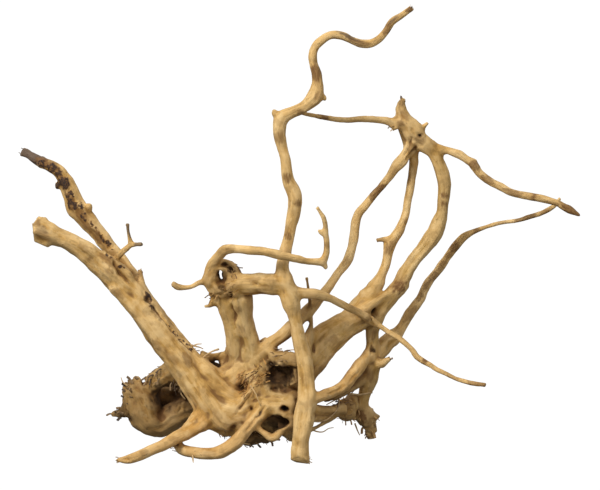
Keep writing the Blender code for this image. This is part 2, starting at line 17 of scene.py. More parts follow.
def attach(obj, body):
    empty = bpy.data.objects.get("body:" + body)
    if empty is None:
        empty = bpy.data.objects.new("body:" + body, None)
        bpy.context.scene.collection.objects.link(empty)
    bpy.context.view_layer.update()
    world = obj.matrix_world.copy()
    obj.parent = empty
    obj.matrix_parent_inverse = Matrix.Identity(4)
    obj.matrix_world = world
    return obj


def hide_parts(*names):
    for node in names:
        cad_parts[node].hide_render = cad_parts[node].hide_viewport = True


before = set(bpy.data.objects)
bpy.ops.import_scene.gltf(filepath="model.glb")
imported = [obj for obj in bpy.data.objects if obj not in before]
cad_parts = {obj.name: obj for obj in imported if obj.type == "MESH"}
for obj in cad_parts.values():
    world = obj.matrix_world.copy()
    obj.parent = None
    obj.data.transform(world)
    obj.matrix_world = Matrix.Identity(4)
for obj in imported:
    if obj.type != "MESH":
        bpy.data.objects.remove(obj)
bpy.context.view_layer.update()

# The limbs. Each is a live root or stem that thickened year by year, so it swells and thins along
# its length and its section is fluted rather than round. A row is a point of a limb as the root is
# seen from the front and 12 degrees above: across, seen height, depth and half thickness.
MM = 0.001
VIEW_TILT = math.radians(12)
LIMBS = {
    # The front stem, from its sawn foot up to the tip that bends over to the right
    "stem": [
        (1, -24, -78, 8.5), (0, -14, -77, 9), (-1, -5, -76, 8.5), (0, 5, -75, 8), (1, 15, -74, 8.3),
        (3, 25, -72, 8.5), (6, 45, -69, 8.5), (6, 65, -65, 7.8), (4, 85, -60, 6.9), (-1, 105, -56, 6.3),
        (-5, 125, -53, 6.5), (-9, 143, -51, 8.5), (-15, 162, -49, 8.5), (-17, 175, -47, 7),
        (-14, 195, -46, 6), (-10, 215, -45, 5.2), (-6, 235, -44, 6.5), (-5, 245, -43, 6.5),
        (-12, 265, -41, 5.4), (-15, 285, -39, 4.8), (-17, 295, -37, 5), (-21, 315, -35, 6),
        (-18, 326, -33, 6.6), (-9, 331, -32, 5.6), (0, 335, -30, 5.6), (9, 341, -29, 6.2),
        (15, 348, -28, 7.2), (17, 360, -26, 5.6), (16, 370, -24, 5), (13, 379, -22, 4.1),
        (12, 387, -21, 4.1), (14, 395, -19, 4.1), (20, 402, -17, 4.2), (30, 408, -14, 4.1),
        (42, 407, -11, 4), (51, 403, -8, 3.6), (60, 400, -5, 4), (69, 400, -3, 4), (78, 405, -1, 3.6),
        (84, 412, 1, 3.5), (91, 422, 3, 3.4), (100, 428, 5, 3), (111, 436, 7, 2.6),
    ],
    # The arm from the stem to the hollow head
    "arm": [
        (-13, 160, -49, 9.5), (-25, 161, -46, 10.5), (-36, 162, -42, 9.6), (-46, 162, -38, 9.6),
        (-57, 162, -34, 10), (-68, 156, -30, 12),
    ],
    # The post under the head, in two strands
    "post_right": [
        (-62, 150, -28, 12), (-60, 135, -26, 10.5), (-58, 125, -25, 9), (-55, 115, -24, 9),
        (-51, 105, -23, 9), (-50, 96, -22, 8.5), (-51, 84, -20, 9),
    ],
    "post_left": [
        (-76, 150, -24, 9), (-74, 138, -23, 7), (-70, 125, -22, 7), (-67, 115, -21, 7.5),
        (-66, 105, -20, 7.5), (-65, 95, -18, 7), (-65, 85, -16, 6), (-64, 72, -14, 7),
    ],
    # The loop twig, from the head over the arm and in front of the stem, with its upward curl
    "loop_twig": [
        (-89, 172, -26, 6), (-89.5, 178, -29, 5), (-86.5, 183, -33, 5), (-81, 189.5, -39, 4.8),
        (-75, 195.5, -46, 4.8), (-68, 197, -52, 4.8), (-60, 196.5, -57, 4.3), (-50, 195.5, -61, 4.3),
        (-40, 194.5, -64, 4.3), (-30, 193, -66, 4.1), (-22, 191, -66, 4.3), (-12, 188.5, -66, 4),
        (-3, 186.5, -64, 3.7), (6, 184.5, -61, 3.1), (15, 184, -58, 3.3), (22, 184, -55, 3.5),
        (25, 191, -54, 3), (26, 200, -55, 2.6), (25.5, 210, -56, 2.4), (24.5, 220, -57, 2.3),
        (23, 227, -58, 2), (19.5, 233, -58, 1.7), (16, 238, -58, 1.2),
    ],
    "loop_spur": [(22, 184, -55, 3.2), (26, 177, -54, 1.6)],
    "curl_spur": [(25.5, 211, -56, 2), (20, 212, -57, 1.7), (18, 216, -57, 1.2)],
    "head_twig": [
        (-88, 166, -28, 4.5), (-96, 164, -31, 2.8), (-102, 162.5, -34, 2.5), (-108, 159, -36, 2.1),
        (-115, 158, -38, 2.3), (-122, 159, -40, 3), (-128, 163, -42, 2.2),
    ],
    "head_stub": [(-80, 148, -24, 6), (-87, 143, -25, 4), (-91, 139.5, -27, 2), (-96, 139.5, -29, 1.3)],
    "head_jaw": [(-80, 158, -26, 6), (-87, 153, -26, 4.5), (-90, 149, -27, 2.5)],
    # The crown at the upper right, from its horn down to where the big right limb starts
    "crown": [
        (104, 348, 38, 1.6), (101, 342, 39, 4), (101, 335, 39, 5.5), (104, 328, 39, 6.8),
        (108, 321, 40, 9), (114, 313, 40, 10), (120, 306, 40, 9.4), (127, 300, 40, 8.6),
        (134, 293, 40, 6.6),
    ],
    "crown_back": [(101, 322, 44, 5), (107, 308, 47, 5.6), (110, 298, 48, 5.5), (114, 288, 48, 4.8)],
    "crown_thorn": [(122, 318, 40, 2.6), (128, 323.5, 40, 1.2)],
    "crown_collar": [(95, 320, 34, 4.5), (92.5, 316, 33, 2)],
    "bridge_twig": [
        (100, 324, 38, 6.5), (92, 323.5, 36, 5), (85, 325, 32, 3.9), (75, 326, 27, 3.3),
        (65, 326.5, 21, 3), (45, 325, 8, 2.8), (25, 327, -6, 2.5), (15, 328.5, -13, 2.4),
        (6, 330, -20, 2.1), (0, 331.5, -26, 1.8),
    ],
    "upper_twig": [
        (132, 299, 40, 5), (140, 297, 39, 4.3), (150, 294.5, 37, 4), (160, 291, 35, 4.2),
        (167, 286, 34, 4.1), (173, 282, 33, 4.6), (177, 275, 31, 4), (183, 269, 30, 4), (192, 263, 28, 4),
        (202, 258, 26, 4.2), (210, 253.5, 24, 4), (220, 251, 22, 4), (232, 248.5, 20, 3.8),
        (243, 246.5, 18, 3.8), (252, 244, 16, 3.4), (258, 242, 15, 3.1), (264, 238.5, 14, 3.6),
        (270, 235.5, 13, 4), (276, 232, 12, 2.4), (280, 230, 12, 1),
    ],
    "upper_spur": [(173, 282, 33, 3.6), (176.5, 286.5, 34, 1.4)],
    # The big right limb, down to where it turns into the right post
    "right_limb": [
        (128, 301, 40, 7.5), (134, 294, 40, 6.8), (137, 285, 39, 6.3), (141, 275, 38, 6.5),
        (144, 265, 37, 6), (144.5, 255, 36, 5.8), (143.5, 245, 35, 5.8), (142.5, 235, 34, 5.6),
        (139.5, 225, 33, 6.3), (136, 215, 31, 7), (130, 205, 29, 7.2), (124, 197, 27, 6.9),
        (116, 188, 25, 6.6), (110, 179, 23, 6.6), (104, 169, 21, 7), (100, 160, 19, 8),
        (93, 152, 17, 8.2), (85, 143, 15, 8), (79, 134, 13, 7.6), (76, 124, 12, 6.6), (72, 114, 12, 6.5),
        (72, 100, 12, 6.5), (73, 90, 11, 6.6), (72, 80, 10, 7.4), (70, 70, 9, 8), (68, 60, 9, 7.4),
        (65, 50, 9, 6.2), (63, 40, 10, 6), (62.5, 32, 11, 6),
    ],
    "right_ridge": [
        (96, 157, 14, 4), (85, 150, 9, 4), (75, 143, 4, 4.2), (66, 137, 0, 5), (58, 130, -2, 6),
    ],
    "right_knob": [(103, 160, 18, 5), (108, 156, 17, 3.6)],
    # The two limbs between the crown and the base
    "inner_limb": [
        (112, 305, 40, 5), (107, 294, 38, 5), (101, 284, 36, 6), (96, 279, 34, 5.2), (90, 270, 32, 4),
        (80, 258, 29, 4), (72, 249, 26, 4), (65, 240, 23, 4.2), (58, 231, 20, 4.3), (55.5, 223, 18, 4.5),
        (54.5, 215, 16, 4.3), (53, 205, 13, 4.4), (52, 200, 12, 4), (49.5, 191, 9, 4.2),
        (46, 183, 6, 4.5), (40, 175, 2, 4.5), (35, 168, -2, 4.5), (30, 161, -6, 4.5), (25, 154, -10, 4.8),
        (15, 143, -16, 5.5), (8, 135, -20, 6), (0, 127, -22, 6), (-12, 116, -24, 6.5),
        (-20, 109, -25, 6.5), (-28, 103, -25, 6.7), (-36, 95, -24, 7.6), (-43, 88, -22, 9),
        (-50, 81, -20, 10), (-60, 73, -17, 11), (-72, 64, -14, 12),
    ],
    "middle_limb": [
        (116, 302, 44, 5), (114, 292, 46, 4.6), (114, 283, 46, 4.5), (113, 275, 45, 4.4),
        (111.5, 265, 44, 4.2), (110, 255, 42, 4.2), (108, 245, 40, 4.2), (106.5, 235, 38, 4.2),
        (103.5, 225, 35, 4.3), (99, 215, 32, 4.6), (94, 207, 29, 5.2), (90, 200, 27, 5.8),
        (88, 190, 24, 4.9), (86, 180, 22, 4.8), (82, 170, 19, 5.2), (78, 162, 17, 6.8), (71, 153, 14, 7),
        (65, 147, 11, 7), (57, 139, 8, 7.5), (48, 128, 4, 8),
    ],
    "middle_stub": [(90, 206, 28, 3), (83, 206, 26, 2.1), (76, 205, 25, 1.4)],
    "middle_spur": [(69, 153, 12, 3.5), (59, 153, 9, 1.4)],
    # The thick lower trunk between the right limbs and the base, in two strands
    "lower_trunk": [
        (70, 130, 8, 9), (60, 126, 6, 10.5), (52, 121, 3, 11), (40, 113, -2, 11.5), (30, 104, -7, 12),
        (20, 94, -12, 12), (9, 82, -16, 12.4), (-2, 70, -20, 14), (-15, 58, -20, 15), (-28, 46, -18, 17),
    ],
    "lower_trunk_top": [
        (56, 130, 6, 8), (44, 124, 3, 8.5), (30, 118, -3, 7.4), (18, 111, -9, 8), (9, 100, -14, 9),
        (2, 86, -18, 10),
    ],
    "lower_trunk_left": [
        (10.5, 129, -20, 1.7), (10.5, 120, -20, 2.4), (9, 112, -21, 4.2), (7, 102, -22, 6),
        (4, 88, -26, 8), (-4, 74, -34, 9), (-10, 60, -42, 10),
    ],
    "thin_twig": [(6, 169, -34, 1.3), (8, 154, -32, 1.4), (9, 138, -26, 1.6), (6, 128, -22, 2)],
    "long_twig": [
        (-8, 153, -49, 6), (5, 152.5, -46, 5), (15, 152, -44, 5), (22, 150, -41, 4.5),
        (30, 147, -37, 3.7), (40, 142, -31, 3.5), (50, 137, -25, 3.6), (60, 132, -18, 3.8),
        (68, 127, -12, 4.2), (75, 122, -9, 3.6), (80, 119, -9, 2.8), (90, 112, -11, 2.6),
        (100, 106, -13, 3), (107, 100, -15, 2.8), (112, 95, -16, 2.8), (116, 89, -18, 2.8),
        (122, 84.5, -20, 2.7), (130, 80, -23, 2.5), (137, 75.5, -26, 2.5), (145, 72, -29, 2.3),
        (155, 67, -33, 2.3), (165, 64, -37, 2.2), (175, 62, -41, 2.2), (185, 61, -45, 1.9),
    ],
    "outer_stem": [
        (70, 84, 14, 7), (79, 93, 19, 7.4), (87, 102, 24, 7.2), (95, 108, 28, 6.6), (101, 115, 31, 5.5),
        (104, 120, 33, 5.1), (110, 131, 37, 5.4), (116, 139, 40, 5.1), (121, 146, 43, 4.9),
        (125, 155, 46, 4.6), (130, 164, 49, 4.3), (136, 171, 52, 4.1), (142, 179, 54, 4.2),
        (148, 188, 56, 4.1), (154, 196, 58, 4.2), (160, 203, 59, 4.1), (166, 209, 60, 3.9),
        (173, 213, 60, 3.2), (180, 216, 60, 2.5), (190, 219.5, 60, 2.3), (200, 222.5, 59, 2.3),
        (210, 224, 58, 2.1), (220, 225.5, 57, 2.3), (230, 228.5, 56, 2.5), (240, 231.5, 54, 2.3),
        (250, 236, 52, 2.3), (256, 240, 50, 2.2), (262, 248, 48, 1.2),
    ],
    "post_stub": [(74, 83, 8, 4.5), (81, 81, 5, 4.3), (86, 84, 3, 3.2), (91, 87, 2, 1.6)],
    # The roots that stand in front between the stem and the right post
    "right_root": [
        (70, 92, 6, 6), (64, 85, -1, 6), (58, 78, -9, 6.5), (52, 70, -19, 6.5), (45, 61.5, -31, 6),
        (35, 55.5, -44, 5.6), (25, 52, -56, 5.4), (16, 49, -66, 5.2), (6, 46, -70, 6),
    ],
    "small_root_1": [(8, 38, -68, 5), (20, 36, -58, 4.6), (32, 36, -44, 4.6), (42, 37, -26, 6)],
    "small_root_2": [(6, 28, -72, 3.4), (20, 27, -58, 2.1), (35, 29, -36, 2), (42, 33, -16, 3)],
    "small_root_3": [(4, 16, -76, 3), (12, 17.5, -66, 1.8), (22, 22, -52, 1.6), (34, 28, -36, 2)],
    "loose_strip": [
        (64, 66, 4, 5), (56, 60, -6, 4), (46, 54, -18, 3.4), (34, 49, -34, 3), (24, 46, -47, 2.6),
    ],
    "right_foot": [
        (62, 34, 12, 8), (65, 27, 15, 9.5), (68, 19, 18, 7), (70, 10, 21, 4), (71, 1, 22, 3.4),
    ],
    "foot_prong": [(70, 22, 18, 5), (74, 16, 20, 3.2), (76, 10, 21, 1.8)],
    "right_foot_front": [(48, 28, 10, 3), (58, 28, 12, 5), (70, 28, 16, 5), (80, 26, 20, 2)],
    # The upper left limb, which still has bark, and the ridge that it makes down the left trunk
    "bark_limb": [
        (-112, 95, -4, 5.5), (-126, 110, -3, 6), (-140, 127, -1, 7), (-152, 143, 1, 7),
        (-161, 157, 3, 6.5), (-166, 166, 6, 6.2), (-172, 175, 9, 6.2), (-180, 185, 12, 6.2),
        (-190, 195, 15, 6.9), (-197, 204, 17, 7), (-204, 213, 19, 6.8), (-212, 223, 21, 7.5),
        (-220, 232, 23, 8.2), (-226, 240, 25, 8.3), (-229, 248, 26, 7.3), (-233, 258, 27, 7),
        (-237, 267, 28, 6.6), (-243, 275, 29, 6), (-250, 279.5, 30, 5.7), (-260, 284, 32, 5.4),
        (-270, 289, 34, 4.2), (-276, 291, 35, 2.8), (-282, 291.5, 35, 2),
    ],
    "bark_limb_prong": [(-268, 289, 34, 3), (-274, 294, 35, 2.2), (-279, 297, 35, 1.6)],
    # The left trunk, from its foot up to the broken end, in three strands
    "trunk": [
        (-65, 18, -25, 12), (-75, 26, -24, 15), (-87, 41, -22, 17), (-98, 54, -20, 16),
        (-111, 74, -18, 15.5), (-126, 94, -16, 15), (-138, 108, -15, 14.5), (-149, 124, -14, 14),
        (-160, 141, -13, 13.5), (-170, 153, -13, 13), (-185, 169, -14, 13), (-195, 179, -15, 12),
        (-205, 186, -16, 10.5), (-215, 194, -17, 9.5), (-225, 201, -18, 8.6), (-235, 206, -19, 7.8),
        (-245, 209.5, -20, 9), (-255, 212.5, -21, 11.6), (-263, 216, -22, 12), (-271, 217, -22, 11.5),
    ],
    "trunk_front": [
        (-70, 22, -32, 11.5), (-80, 28, -33, 13), (-90, 42, -31, 12), (-104, 60, -29, 10),
        (-122, 84, -26, 8), (-142, 108, -24, 7), (-158, 128, -23, 7), (-172, 144, -22, 7),
        (-188, 160, -22, 6),
    ],
    "broken_end": [(-250, 203, -22, 7), (-258, 203, -23, 5), (-264, 207, -24, 3)],
    "broken_end_top": [(-250, 216, -18, 7), (-259, 222, -18, 5.5), (-264, 227, -18, 3)],
    "end_thorn": [(-253, 220, -18, 2.6), (-254.5, 228.5, -18, 1.6)],
    "end_stub": [(-236, 206, -18, 3), (-234, 196.5, -18, 1.6)],
    "crown_nub": [(130, 299, 40, 3), (135, 305, 40, 1.6)],
    "trunk_spike": [(-160, 150, -8, 6), (-159, 164, -8, 3.2), (-160.5, 176, -8, 1.7)],
    "side_twig": [
        (-188, 183, -10, 4), (-183, 187, -12, 3.4), (-179, 192, -16, 3), (-173, 197, -20, 3),
        (-169, 200.5, -23, 2.6),
    ],
    "side_twig_up": [(-169, 202, -23, 2.4), (-171, 212, -25, 1.8), (-172, 222, -27, 1.2)],
    "side_twig_out": [(-169, 200.5, -23, 2.4), (-163, 201, -27, 2.1), (-157, 201, -31, 1.9)],
    # The roots in front on the left
    "front_root": [
        (-88, 42, -27, 13), (-96, 28, -32, 11), (-106, 19, -38, 8.6), (-115, 13, -46, 7.2),
        (-125, 8, -55, 6.2), (-135, 2, -63, 6), (-150, -4.5, -72, 5.6), (-160, -8.8, -79, 5.2),
        (-170, -12, -82, 4.6), (-178, -12.8, -81, 2.8), (-183, -13, -80, 1.4),
    ],
    "middle_root": [
        (-30, 42, -36, 7), (-40, 31, -43, 6.5), (-48, 23, -49, 6), (-55, 15, -55, 6.2),
        (-64, 4.6, -60, 6.5), (-72, -2, -63, 6.2), (-85, -7.2, -64, 6), (-95, -7.6, -62, 5.8),
        (-105, -6.6, -58, 5.6), (-115, -4.6, -53, 5.4), (-123, -1.6, -48, 4.6),
    ],
    "root_fray": [(-120, -2.5, -49, 3), (-129, 1.5, -46, 1.8)],
    # The base that all of it grows from, and what stands behind it out of sight
    "base": [
        (-46, 80, -18, 15), (-38, 66, -17, 20), (-31, 48, -16, 23), (-27, 32, -14, 22),
        (-24, 21, -12, 16),
    ],
    "base_left": [(-80, 28, -22, 15), (-66, 32, -20, 15), (-52, 34, -18, 17), (-38, 34, -16, 18)],
    "base_ridge": [(-67, 8, -30, 6), (-55, 20, -38, 5), (-42, 32, -42, 5.5), (-32, 42, -42, 6)],
    "trunk_skirt": [
        (-116, 88, -14, 11), (-104, 76, -16, 13), (-93, 66, -18, 14), (-82, 56, -19, 14.5),
        (-70, 47, -22, 14),
    ],
    "trunk_flare": [
        (-102, 64, -18, 13), (-86, 52, -22, 14), (-70, 46, -24, 13), (-56, 44, -25, 12),
        (-44, 44, -26, 12),
    ],
    "trunk_heel": [(-84, 42, -26, 14), (-73, 36, -30, 13.5), (-62, 33, -32, 12), (-50, 36, -32, 10)],
    "base_shelf": [(-44, 44, -30, 10), (-28, 42, -34, 12.5), (-14, 41, -38, 13), (-2, 44, -44, 9)],
    "base_brow": [(-30, 90, -22, 7), (-37, 78, -24, 8), (-42, 68, -28, 8), (-52, 64, -26, 9)],
    "cavity_back": [(-34, 86, -4, 11), (-20, 82, -6, 12), (-6, 78, -8, 12)],
    "base_rootlet": [
        (-47, 22, -44, 4), (-37, 13, -49, 3.4), (-28, 8, -50, 4), (-20, 14, -50, 3.6), (-13, 22, -50, 4),
    ],
    "base_small_root": [(-68, 32, -38, 4.5), (-58, 43, -38, 4.5), (-48, 55, -37, 4.5), (-42, 65, -32, 5)],
    "inner_foot": [(-28, 100, -20, 9), (-42, 86, -16, 12), (-58, 76, -14, 13), (-76, 68, -12, 12)],
    "base_bottom": [(-66, 13, -14, 10), (-54, 11, -16, 10), (-42, 10.5, -16, 9.6), (-32, 12, -16, 9)],
    "base_spur": [(-30, 14, -22, 7), (-28, 6, -26, 4), (-28, 2.5, -28, 1.8)],
    "base_front": [(-12, 34, -46, 9), (-14, 22, -42, 10), (-10, 13, -40, 7.5), (-8, 8.5, -44, 5.5)],
    "base_top": [(-30, 90, -30, 6), (-14, 88, -36, 6.5), (0, 85, -44, 7)],
    "back_root": [
        (-30, 46, 0, 18), (-34, 45, 24, 15), (-38, 42, 44, 12), (-40, 36, 60, 10), (-40, 27, 74, 8),
        (-38, 18, 82, 6),
    ],
    "back_root_right": [
        (-22, 46, 4, 15), (-10, 43, 26, 11), (-4, 40, 44, 8.5), (-6, 38, 58, 6), (-10, 38, 68, 4),
        (-14, 40, 74, 2),
    ],
    "valley": [(-98, 84, 0, 7), (-88, 74, 4, 9), (-76, 64, 4, 11), (-62, 60, 0, 12), (-50, 60, -6, 12)],
    "post_tie": [(-100, 88, -8, 6), (-86, 88, -4, 3.6), (-76, 89, -6, 4.4), (-66, 86, -12, 5.5)],
    # The broken slab and the curled log behind the left trunk
    "slab": [(-118, 84, 2, 9), (-128, 75, 10, 9), (-140, 66, 17, 9), (-150, 58, 22, 9)],
    "slab_lower": [(-112, 70, 2, 9), (-126, 64, 12, 8), (-140, 58, 20, 8), (-156, 52, 24, 8)],
    "curled_log": [
        (-173, 61, 22, 7), (-168, 52, 22, 12.5), (-162, 41, 22, 16.5), (-155, 26, 24, 18),
        (-142, 20, 26, 15.5), (-126, 29, 24, 14), (-113, 36, 18, 12), (-98, 40, 4, 12),
    ],
    "log_back": [(-150, 48, 36, 10), (-134, 46, 40, 11), (-118, 48, 34, 11), (-104, 50, 18, 12)],
    "log_spike": [(-172, 36, 24, 7.5), (-180, 31, 25, 5), (-186, 29.5, 26, 3.4), (-192, 28.5, 26, 1.6)],
    "log_crest": [(-170, 58, 22, 5), (-177, 63, 22, 3.2)],
    "log_crest_right": [(-166, 60, 22, 5), (-164, 68, 22, 3)],
}
# The ring of wood round the eye of the hollow head
HEAD_RING_CENTRE = (-78, 168, -28)
HEAD_RING_RADII = (11.0, 10.5)  # mm, across and up
HEAD_RING_POINTS = 10
HEAD_RING_THICKNESS = 8.0  # mm, the half thickness
# Round knobs: across, seen height, depth and radius
KNOBS = [
    (47, 35, -4, 12), (52, 42, 2, 9), (-72, 94, -8, 5.5), (-78, 80, -6, 5), (-26, 331, -33, 3.6),
    (24, 346, -28, 3), (-20, 78, -34, 9), (-243, 260, 27, 3.2), (-212, 238, 22, 3.6),
]
# Hollows: where, half sizes across, deep and high, in the same view
HOLLOWS = {
    "head_eye": ((-80, 173, -28), (3.8, 30, 4.2)),
    "head_pocket": ((-69, 176, -38), (4.5, 7, 5)),
    "head_top_pocket": ((-75, 181, -34), (4.5, 7, 1.7)),
    "head_nick": ((-79, 158, -38), (3, 6, 3)),
    "head_slit": ((-71, 153, -38), (3, 5, 1.8)),
    "head_bowl": ((-80, 163, -40), (7.5, 9, 7)),
    "base_cavity": ((-21, 69, -44), (13.5, 20, 11)),
    "base_hole": ((-16, 37, -50), (5, 20, 3.4)),
    "base_shadow": ((-22, 24, -48), (12, 12, 7)),
    "trunk_hole": ((-151.5, 147, -26), (3.2, 8, 6)),
    "post_slot": ((73, 94, 3), (1.4, 8, 6)),
    "log_cavity": ((-133, 50, 16), (12, 16, 11)),
    "crown_knot": ((119, 310, 30), (3.2, 5, 2.6)),
}
SPINE_STEP = 1.6  # mm between two rings of a limb
RING_POINTS = 26
THINNEST = 1.6  # mm, the least half thickness of a twig
GIVEN_BACK = 0.5  # mm, what smoothing will take off a half thickness
FLUTE_TWIST = 0.012  # radians that the flutes turn for each millimetre along a limb
FLUTES = ((2, 1, 0.06), (3, -1, 0.045), (5, 1.5, 0.03))  # count, way of the twist, share of the radius
FLUTED = ((2, 7), (0.5, 1))  # half thickness in mm, and how much of the flutes it shows
SWELL = (9, 0.035)  # mm between a limb's swellings, and their share of its radius
SIDE_FROM = (0.3, 0.2, 0.93)  # a direction that no limb starts in, for its first cross axis
KNOB_LENGTH = 0.7  # a knob's half length to its radius
KNOB_END = 0.75  # the radius of a knob's ends to that of its middle


def placed(rows):
    """The points in space, in millimetres, of rows that are given as seen."""
    across, seen, depth = np.array(rows, float).T[:3]
    height = (seen - depth * math.sin(VIEW_TILT)) / math.cos(VIEW_TILT)
    return np.column_stack([across, depth, height])


def noise(points, seed=0):
    """Smooth random values from -1 to 1, with about one swing for each unit of distance."""
    cell = np.floor(points).astype(np.int64)
    part = points - cell
    part = part * part * (3 - 2 * part)
    total = np.zeros(len(points))
    for corner in itertools.product((0, 1), repeat=3):
        # The corner's place, stirred into a number from 0 to 65535
        key = (cell + corner) @ np.array([73856093, 19349663, 83492791]) + seed * 40503
        key = (key ^ (key >> 13)) * 1274126177
        key = (key ^ (key >> 16)) & 65535
        share = np.prod(np.where(corner, part, 1 - part), axis=1)
        total += share * (key / 32767.5 - 1)
    return total


def two_noises(points, size, finer, share, seed):
    """A noise with a share of a finer one on top of it."""
    return noise(points / size, seed) + share * noise(points / size * finer, seed + 1)


def unit(vectors):
    return vectors / np.maximum(np.linalg.norm(vectors, axis=-1, keepdims=True), 1e-9)


def spine(rows):
    """A limb's smooth middle line: centres, half thicknesses, lengths along it, and cross axes."""
    rows = np.array(rows, float)
    points = np.column_stack([placed(rows), rows[:, 3]])
    spans = np.linalg.norm(np.diff(points[:, :3], axis=0), axis=1)[:, None]
    slopes = np.diff(points, axis=0) / spans
    inner = (slopes[:-1] * spans[1:] + slopes[1:] * spans[:-1]) / (spans[:-1] + spans[1:])
    tangents = np.vstack([slopes[:1], inner, slopes[-1:]])
    pieces = []
    for number, span in enumerate(spans[:, 0]):
        share = np.linspace(0, 1, max(2, round(span / SPINE_STEP)), endpoint=False)[:, None]
        start, end = points[number], points[number + 1]
        leaving, arriving = tangents[number] * span, tangents[number + 1] * span
        pieces.append((2 * share**3 - 3 * share**2 + 1) * start
                      + (share**3 - 2 * share**2 + share) * leaving
                      + (3 * share**2 - 2 * share**3) * end + (share**3 - share**2) * arriving)
    curve = np.vstack(pieces + [points[-1:]])
    centre, half = curve[:, :3], np.maximum(curve[:, 3], THINNEST)
    length = np.concatenate([[0], np.cumsum(np.linalg.norm(np.diff(centre, axis=0), axis=1))])
    run = unit(np.gradient(centre, axis=0))
    side = [unit(np.cross(run[0], SIDE_FROM))]
    for direction in run[1:]:
        side.append(unit(side[-1] - direction * (side[-1] @ direction)))
    side = np.array(side)
    return {"centre": centre, "half": half, "length": length, "run": run, "side": side,
            "up": np.cross(run, side)}


def tube(limb, number):
    """The limb's closed, fluted skin as points and faces."""
    length, half = limb["length"][:, None], limb["half"][:, None]
    angle = np.linspace(0, 2 * math.pi, RING_POINTS, endpoint=False)[None]
    turn = FLUTE_TWIST * length
    wave = sum(share * np.cos(count * (angle - twist * turn) + order * number)
               for order, (count, twist, share) in enumerate(FLUTES, 1))
    along = limb["length"] / SWELL[0]
    swell = noise(np.column_stack([along, 0 * along, 0 * along]), number)
    radius = (half + GIVEN_BACK) * (1 + np.interp(half, *FLUTED) * wave + SWELL[1] * swell[:, None])
    rings = limb["centre"][:, None] + radius[..., None] * (
        np.cos(angle)[..., None] * limb["side"][:, None] + np.sin(angle)[..., None] * limb["up"][:, None])
    points = np.vstack([rings.reshape(-1, 3), limb["centre"][:1], limb["centre"][-1:]])
    last_ring = (len(rings) - 1) * RING_POINTS
    start, end = len(points) - 2, len(points) - 1
    faces = []
    for step in range(RING_POINTS):
        following = (step + 1) % RING_POINTS
        faces.append((following, step, start))
        faces.append((last_ring + step, last_ring + following, end))
        for ring in range(0, last_ring, RING_POINTS):
            faces.append((ring + step, ring + following, ring + RING_POINTS + following,
                          ring + RING_POINTS + step))
    return points, faces


def head_ring():
    """The rows of the ring of wood round the head's eye, closed by overlapping its start."""
    across, seen, depth = HEAD_RING_CENTRE
    wide, high = HEAD_RING_RADII
    angles = [2 * math.pi * number / HEAD_RING_POINTS for number in range(HEAD_RING_POINTS + 2)]
    return [(across + wide * math.cos(a), seen + high * math.sin(a), depth, HEAD_RING_THICKNESS)
            for a in angles]


def knob_rows(across, seen, depth, radius):
    """The rows of a round knob, which is a very short limb that lies across."""
    reach, end = radius * KNOB_LENGTH, radius * KNOB_END
    return [(across - reach, seen, depth, end), (across, seen, depth, radius),
            (across + reach, seen, depth, end)]


def joined(shapes):
    """The points and faces of several shapes as those of one."""
    points, faces, count = [], [], 0
    for shape_points, shape_faces in shapes:
        points.append(shape_points)
        faces += [tuple(corner + count for corner in face) for face in shape_faces]
        count += len(shape_points)
    return np.vstack(points), faces


def new_mesh_object(name, points, faces):
    """An object whose mesh has these points, given in millimetres."""
    mesh = bpy.data.meshes.new(name)
    mesh.from_pydata((np.asarray(points) * MM).tolist(), [], faces)
    mesh.update()
    thing = bpy.data.objects.new(name, mesh)
    bpy.context.scene.collection.objects.link(thing)
    return thing


names = list(LIMBS) + ["head_ring"]
limbs = [spine(rows) for rows in list(LIMBS.values()) + [head_ring()]]
skins = [tube(limb, number) for number, limb in enumerate(limbs)]
skins += [tube(spine(knob_rows(*knob)), len(names)) for knob in KNOBS]
wood = new_mesh_object("root_wood", *joined(skins))

# The wood as one body. The limbs grew together where they meet, so they are fused, the hollows that
# rot left are taken out with uneven edges, and the creases between limbs are filled to smooth necks.
VOXEL = 1.15  # mm, the grain of the fused mesh
HOLLOW_UNEVENNESS = (2.3, 0.2)  # swings for each radius, and their share of it
GROUND_SIDE = 0.9  # m, of the block whose top is the ground
REACH = 13.0  # mm from a limb's surface, past which it is no neighbour
FILLET_REACH = 6.5  # mm from the second-nearest limb
FILLET_ROUNDS = 26
FILLETED = ((2, 5), (0.15, 1))  # half thickness in mm, and how full a limb's fillets are
SMOOTHING_ROUNDS = 2
EVENING_ROUNDS = 9
PULL = 0.5  # share of the way to its neighbours' mean that a point goes in a round
PUSH = 0.52  # share of the way back out, after each pull
AT_ONCE = 8000  # points measured together


def settled(thing):
    """Makes the object's mesh what its modifiers show, and removes them."""
    graph = bpy.context.evaluated_depsgraph_get()
    rough = thing.data
    mesh = bpy.data.meshes.new_from_object(thing.evaluated_get(graph))
    thing.modifiers.clear()
    thing.data = mesh
    bpy.data.meshes.remove(rough)


def remeshed(thing, size):
    """Adds a voxel remesh of this grain, in millimetres."""
    remesh = thing.modifiers.new("remesh", "REMESH")
    remesh.mode = "VOXEL"
    remesh.voxel_size = size * MM


def cut(thing, cutter):
    """Takes the cutter's shape out of the object, and removes the cutter."""
    taking = thing.modifiers.new("cut", "BOOLEAN")
    taking.operation = "DIFFERENCE"
    taking.solver = "MANIFOLD"
    taking.object = cutter
    settled(thing)
    bpy.data.meshes.remove(cutter.data)


